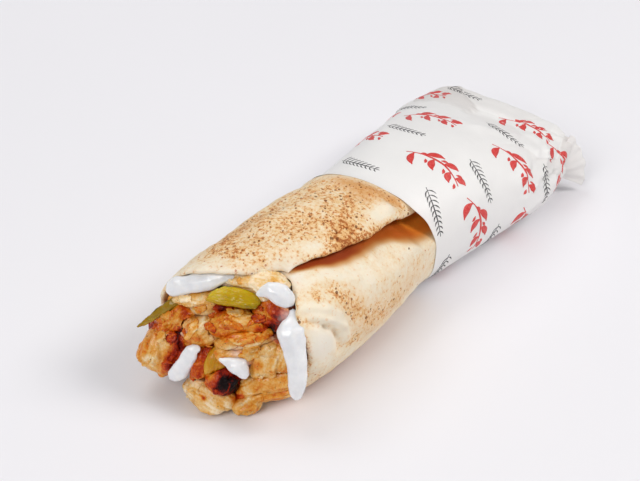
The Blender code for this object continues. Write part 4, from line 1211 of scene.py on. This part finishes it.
def shreds(pieces, count, look):
    """Torn bits of chicken lying on and between the pieces, as one mesh."""
    surface = []
    for piece in pieces:
        tree = BVHTree.FromObject(piece, bpy.context.evaluated_depsgraph_get())
        tone = np.zeros(len(piece.data.vertices))
        piece.data.attributes["done"].data.foreach_get("value", tone)
        surface.append((tree, piece, tone))
    spin = random.Random(7)
    points, faces, values = [], [], []
    rings, sides = 9, 8
    while len(points) < count * rings * sides:
        right, up = spin.uniform(-26, 26), spin.uniform(-28, 24)
        if (right / 27) ** 2 + (up / 27) ** 2 > 1:
            continue
        start = Vector(((mouth_point(right, up, 60) + SHIFT) * MM).tolist())
        best = None
        for tree, piece, tone in surface:
            hit, normal, index, distance = tree.ray_cast(start, Vector((-OUT).tolist()))
            if hit is not None and (best is None or distance < best[0]):
                under = tone[piece.data.polygons[index].vertices[0]]
                best = (distance, hit, normal, under)
        if best is None:
            continue
        centre = np.array(best[1]) / MM - SHIFT
        normal = np.array(best[2])
        heading = spin.uniform(0, math.pi)
        along = RIGHT * math.cos(heading) + UP * math.sin(heading)
        along = along - normal * (along @ normal)
        along /= np.linalg.norm(along)
        across = np.cross(normal, along)
        length, width = spin.uniform(1.6, 5.0), spin.uniform(0.35, 0.9)
        bend = spin.uniform(-0.25, 0.25)
        first = len(points)
        for ring in range(rings):
            t = ring / (rings - 1) * 2 - 1
            size = width * math.sqrt(max(1 - t * t, 0.02)) * (1 + 0.25 * math.sin(5 * t + heading * 3))
            middle = centre + along * t * length / 2 + across * bend * length * t * t + normal * (0.1 - 0.4 * t * t)
            for side in range(sides):
                angle = 2 * math.pi * side / sides
                points.append(middle + across * size * math.cos(angle) + normal * 0.7 * size * math.sin(angle))
        for ring in range(rings - 1):
            for side in range(sides):
                a, b = first + ring * sides + side, first + ring * sides + (side + 1) % sides
                faces.append((a, b, b + sides, a + sides))
        faces.append(tuple(first + side for side in reversed(range(sides))))
        faces.append(tuple(first + (rings - 1) * sides + side for side in range(sides)))
        values += [min(max(best[3] + spin.uniform(-0.12, 0.12), 0), 0.8)] * rings * sides
    points = np.array(points)
    points += 0.12 * np.stack([noise(points, 1.1, 900 + k) for k in range(3)], axis=-1)
    zero = np.zeros(len(points))
    bits = mesh_object("meat_shreds", points, faces, {
        "done": values, "red": zero, "strand": zero + 0.4, "film": zero,
    })
    weld(bits, 0.001)
    return settle(bits, look, "chicken")


def filling():
    chicken = chicken_look()
    pieces = [
        chicken_piece(node, traits, 100 + 80 * i, chicken)
        for i, (node, traits) in enumerate(CHICKEN.items())
    ]
    shreds(pieces, 60, chicken)
    sauce = sauce_look()
    toppings = [
        sauce_piece(node, 3000 + 20 * i, sauce)
        for i, node in enumerate(sorted(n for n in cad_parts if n.startswith("sauce")))
    ]
    slice_look = pickle_look("pickle_slice", (180, 146, 4), (146, 122, 2), (206, 180, 44))
    wedge_look = pickle_look("pickle_wedge", (196, 136, 22), (150, 98, 16), (214, 164, 52))
    spear_look = pickle_look("pickle_spear", (152, 120, 18), (86, 80, 10), (184, 152, 44))
    toppings.append(pickle_piece("pickle_slice", 4001, slice_look, (0.3, -1), -8, 0.82))
    toppings.append(pickle_piece("pickle_wedge", 4101, wedge_look, (1, 0), 65))
    toppings.append(pickle_piece("pickle_spear", 4201, spear_look, (-0.6, 1), 33))
    flakes(pieces, toppings, 15, chicken)
    core = fine_copy("filling_core", "inner_filling", 1.1, 2)
    points, normals = mesh_points(core)
    points = points + normals * (1.0 + 1.4 * rough(points, 6, 501))[:, None]
    points[:, 2] = np.maximum(points[:, 2], 2.6)
    move_points(core, points)
    settle(core, core_look(), "filling", "filling_core")


# ---------------------------------------------------------------- floor, light and camera

def floor_look():
    look = Look("floor", roughness=0.8)
    cloud = look.noise(300, detail=1)
    look.colour(look.ramp(cloud, [(0.3, (236, 235, 239)), (0.7, (238, 237, 241))]))
    look.bump(look.noise(2, detail=2), 0.01, 0.1)
    return look.material


def stage():
    bpy.ops.mesh.primitive_plane_add(size=8)
    floor = bpy.context.object
    floor.name = "floor"
    floor.data.materials.append(floor_look())


def area_light(name, turn, tilt, distance, size, power, colour):
    """A square softbox that faces the wrap from a side and a height, in degrees."""
    turn, tilt = math.radians(turn), math.radians(tilt)
    away = Vector((math.sin(turn) * math.cos(tilt), -math.cos(turn) * math.cos(tilt), math.sin(tilt)))
    light = bpy.data.lights.new(name, "AREA")
    light.shape = "SQUARE"
    light.size = size
    light.energy = power
    light.color = colour
    thing = bpy.data.objects.new(name, light)
    thing.location = away * distance
    thing.rotation_mode = "QUATERNION"
    thing.rotation_quaternion = away.to_track_quat("Z", "Y")
    bpy.context.scene.collection.objects.link(thing)


def lighting():
    world = bpy.data.worlds.new("studio")
    world.use_nodes = True
    background = world.node_tree.nodes["Background"]
    background.inputs["Color"].default_value = (0.98, 0.985, 1.0, 1)
    background.inputs["Strength"].default_value = 0.3
    bpy.context.scene.world = world
    area_light("key", 126, 46, 2.2, 0.8, 22, (1.0, 0.975, 0.95))
    area_light("front", 5, 42, 2.4, 1.2, 22, (1.0, 0.99, 0.98))
    area_light("top", 262, 64, 2.2, 1.2, 11, (0.98, 0.99, 1.0))
    bpy.context.scene.view_settings.view_transform = "Standard"


def camera():
    turn, tilt = math.radians(CAMERA_TURN), math.radians(CAMERA_TILT)
    back = Vector((math.sin(turn) * math.cos(tilt), -math.cos(turn) * math.cos(tilt), math.sin(tilt)))
    data = bpy.data.cameras.new("camera")
    data.lens = CAMERA_LENS
    data.sensor_width = 36
    data.clip_start = 0.01
    thing = bpy.data.objects.new("camera", data)
    thing.location = Vector((CAMERA_TARGET + SHIFT) * MM) + back * CAMERA_DISTANCE * MM
    thing.rotation_mode = "QUATERNION"
    thing.rotation_quaternion = back.to_track_quat("Z", "Y")
    bpy.context.scene.collection.objects.link(thing)
    bpy.context.scene.camera = thing


flatbread()
paper_sleeve()
paper_fan()
paper_print()
filling()
stage()
lighting()
camera()
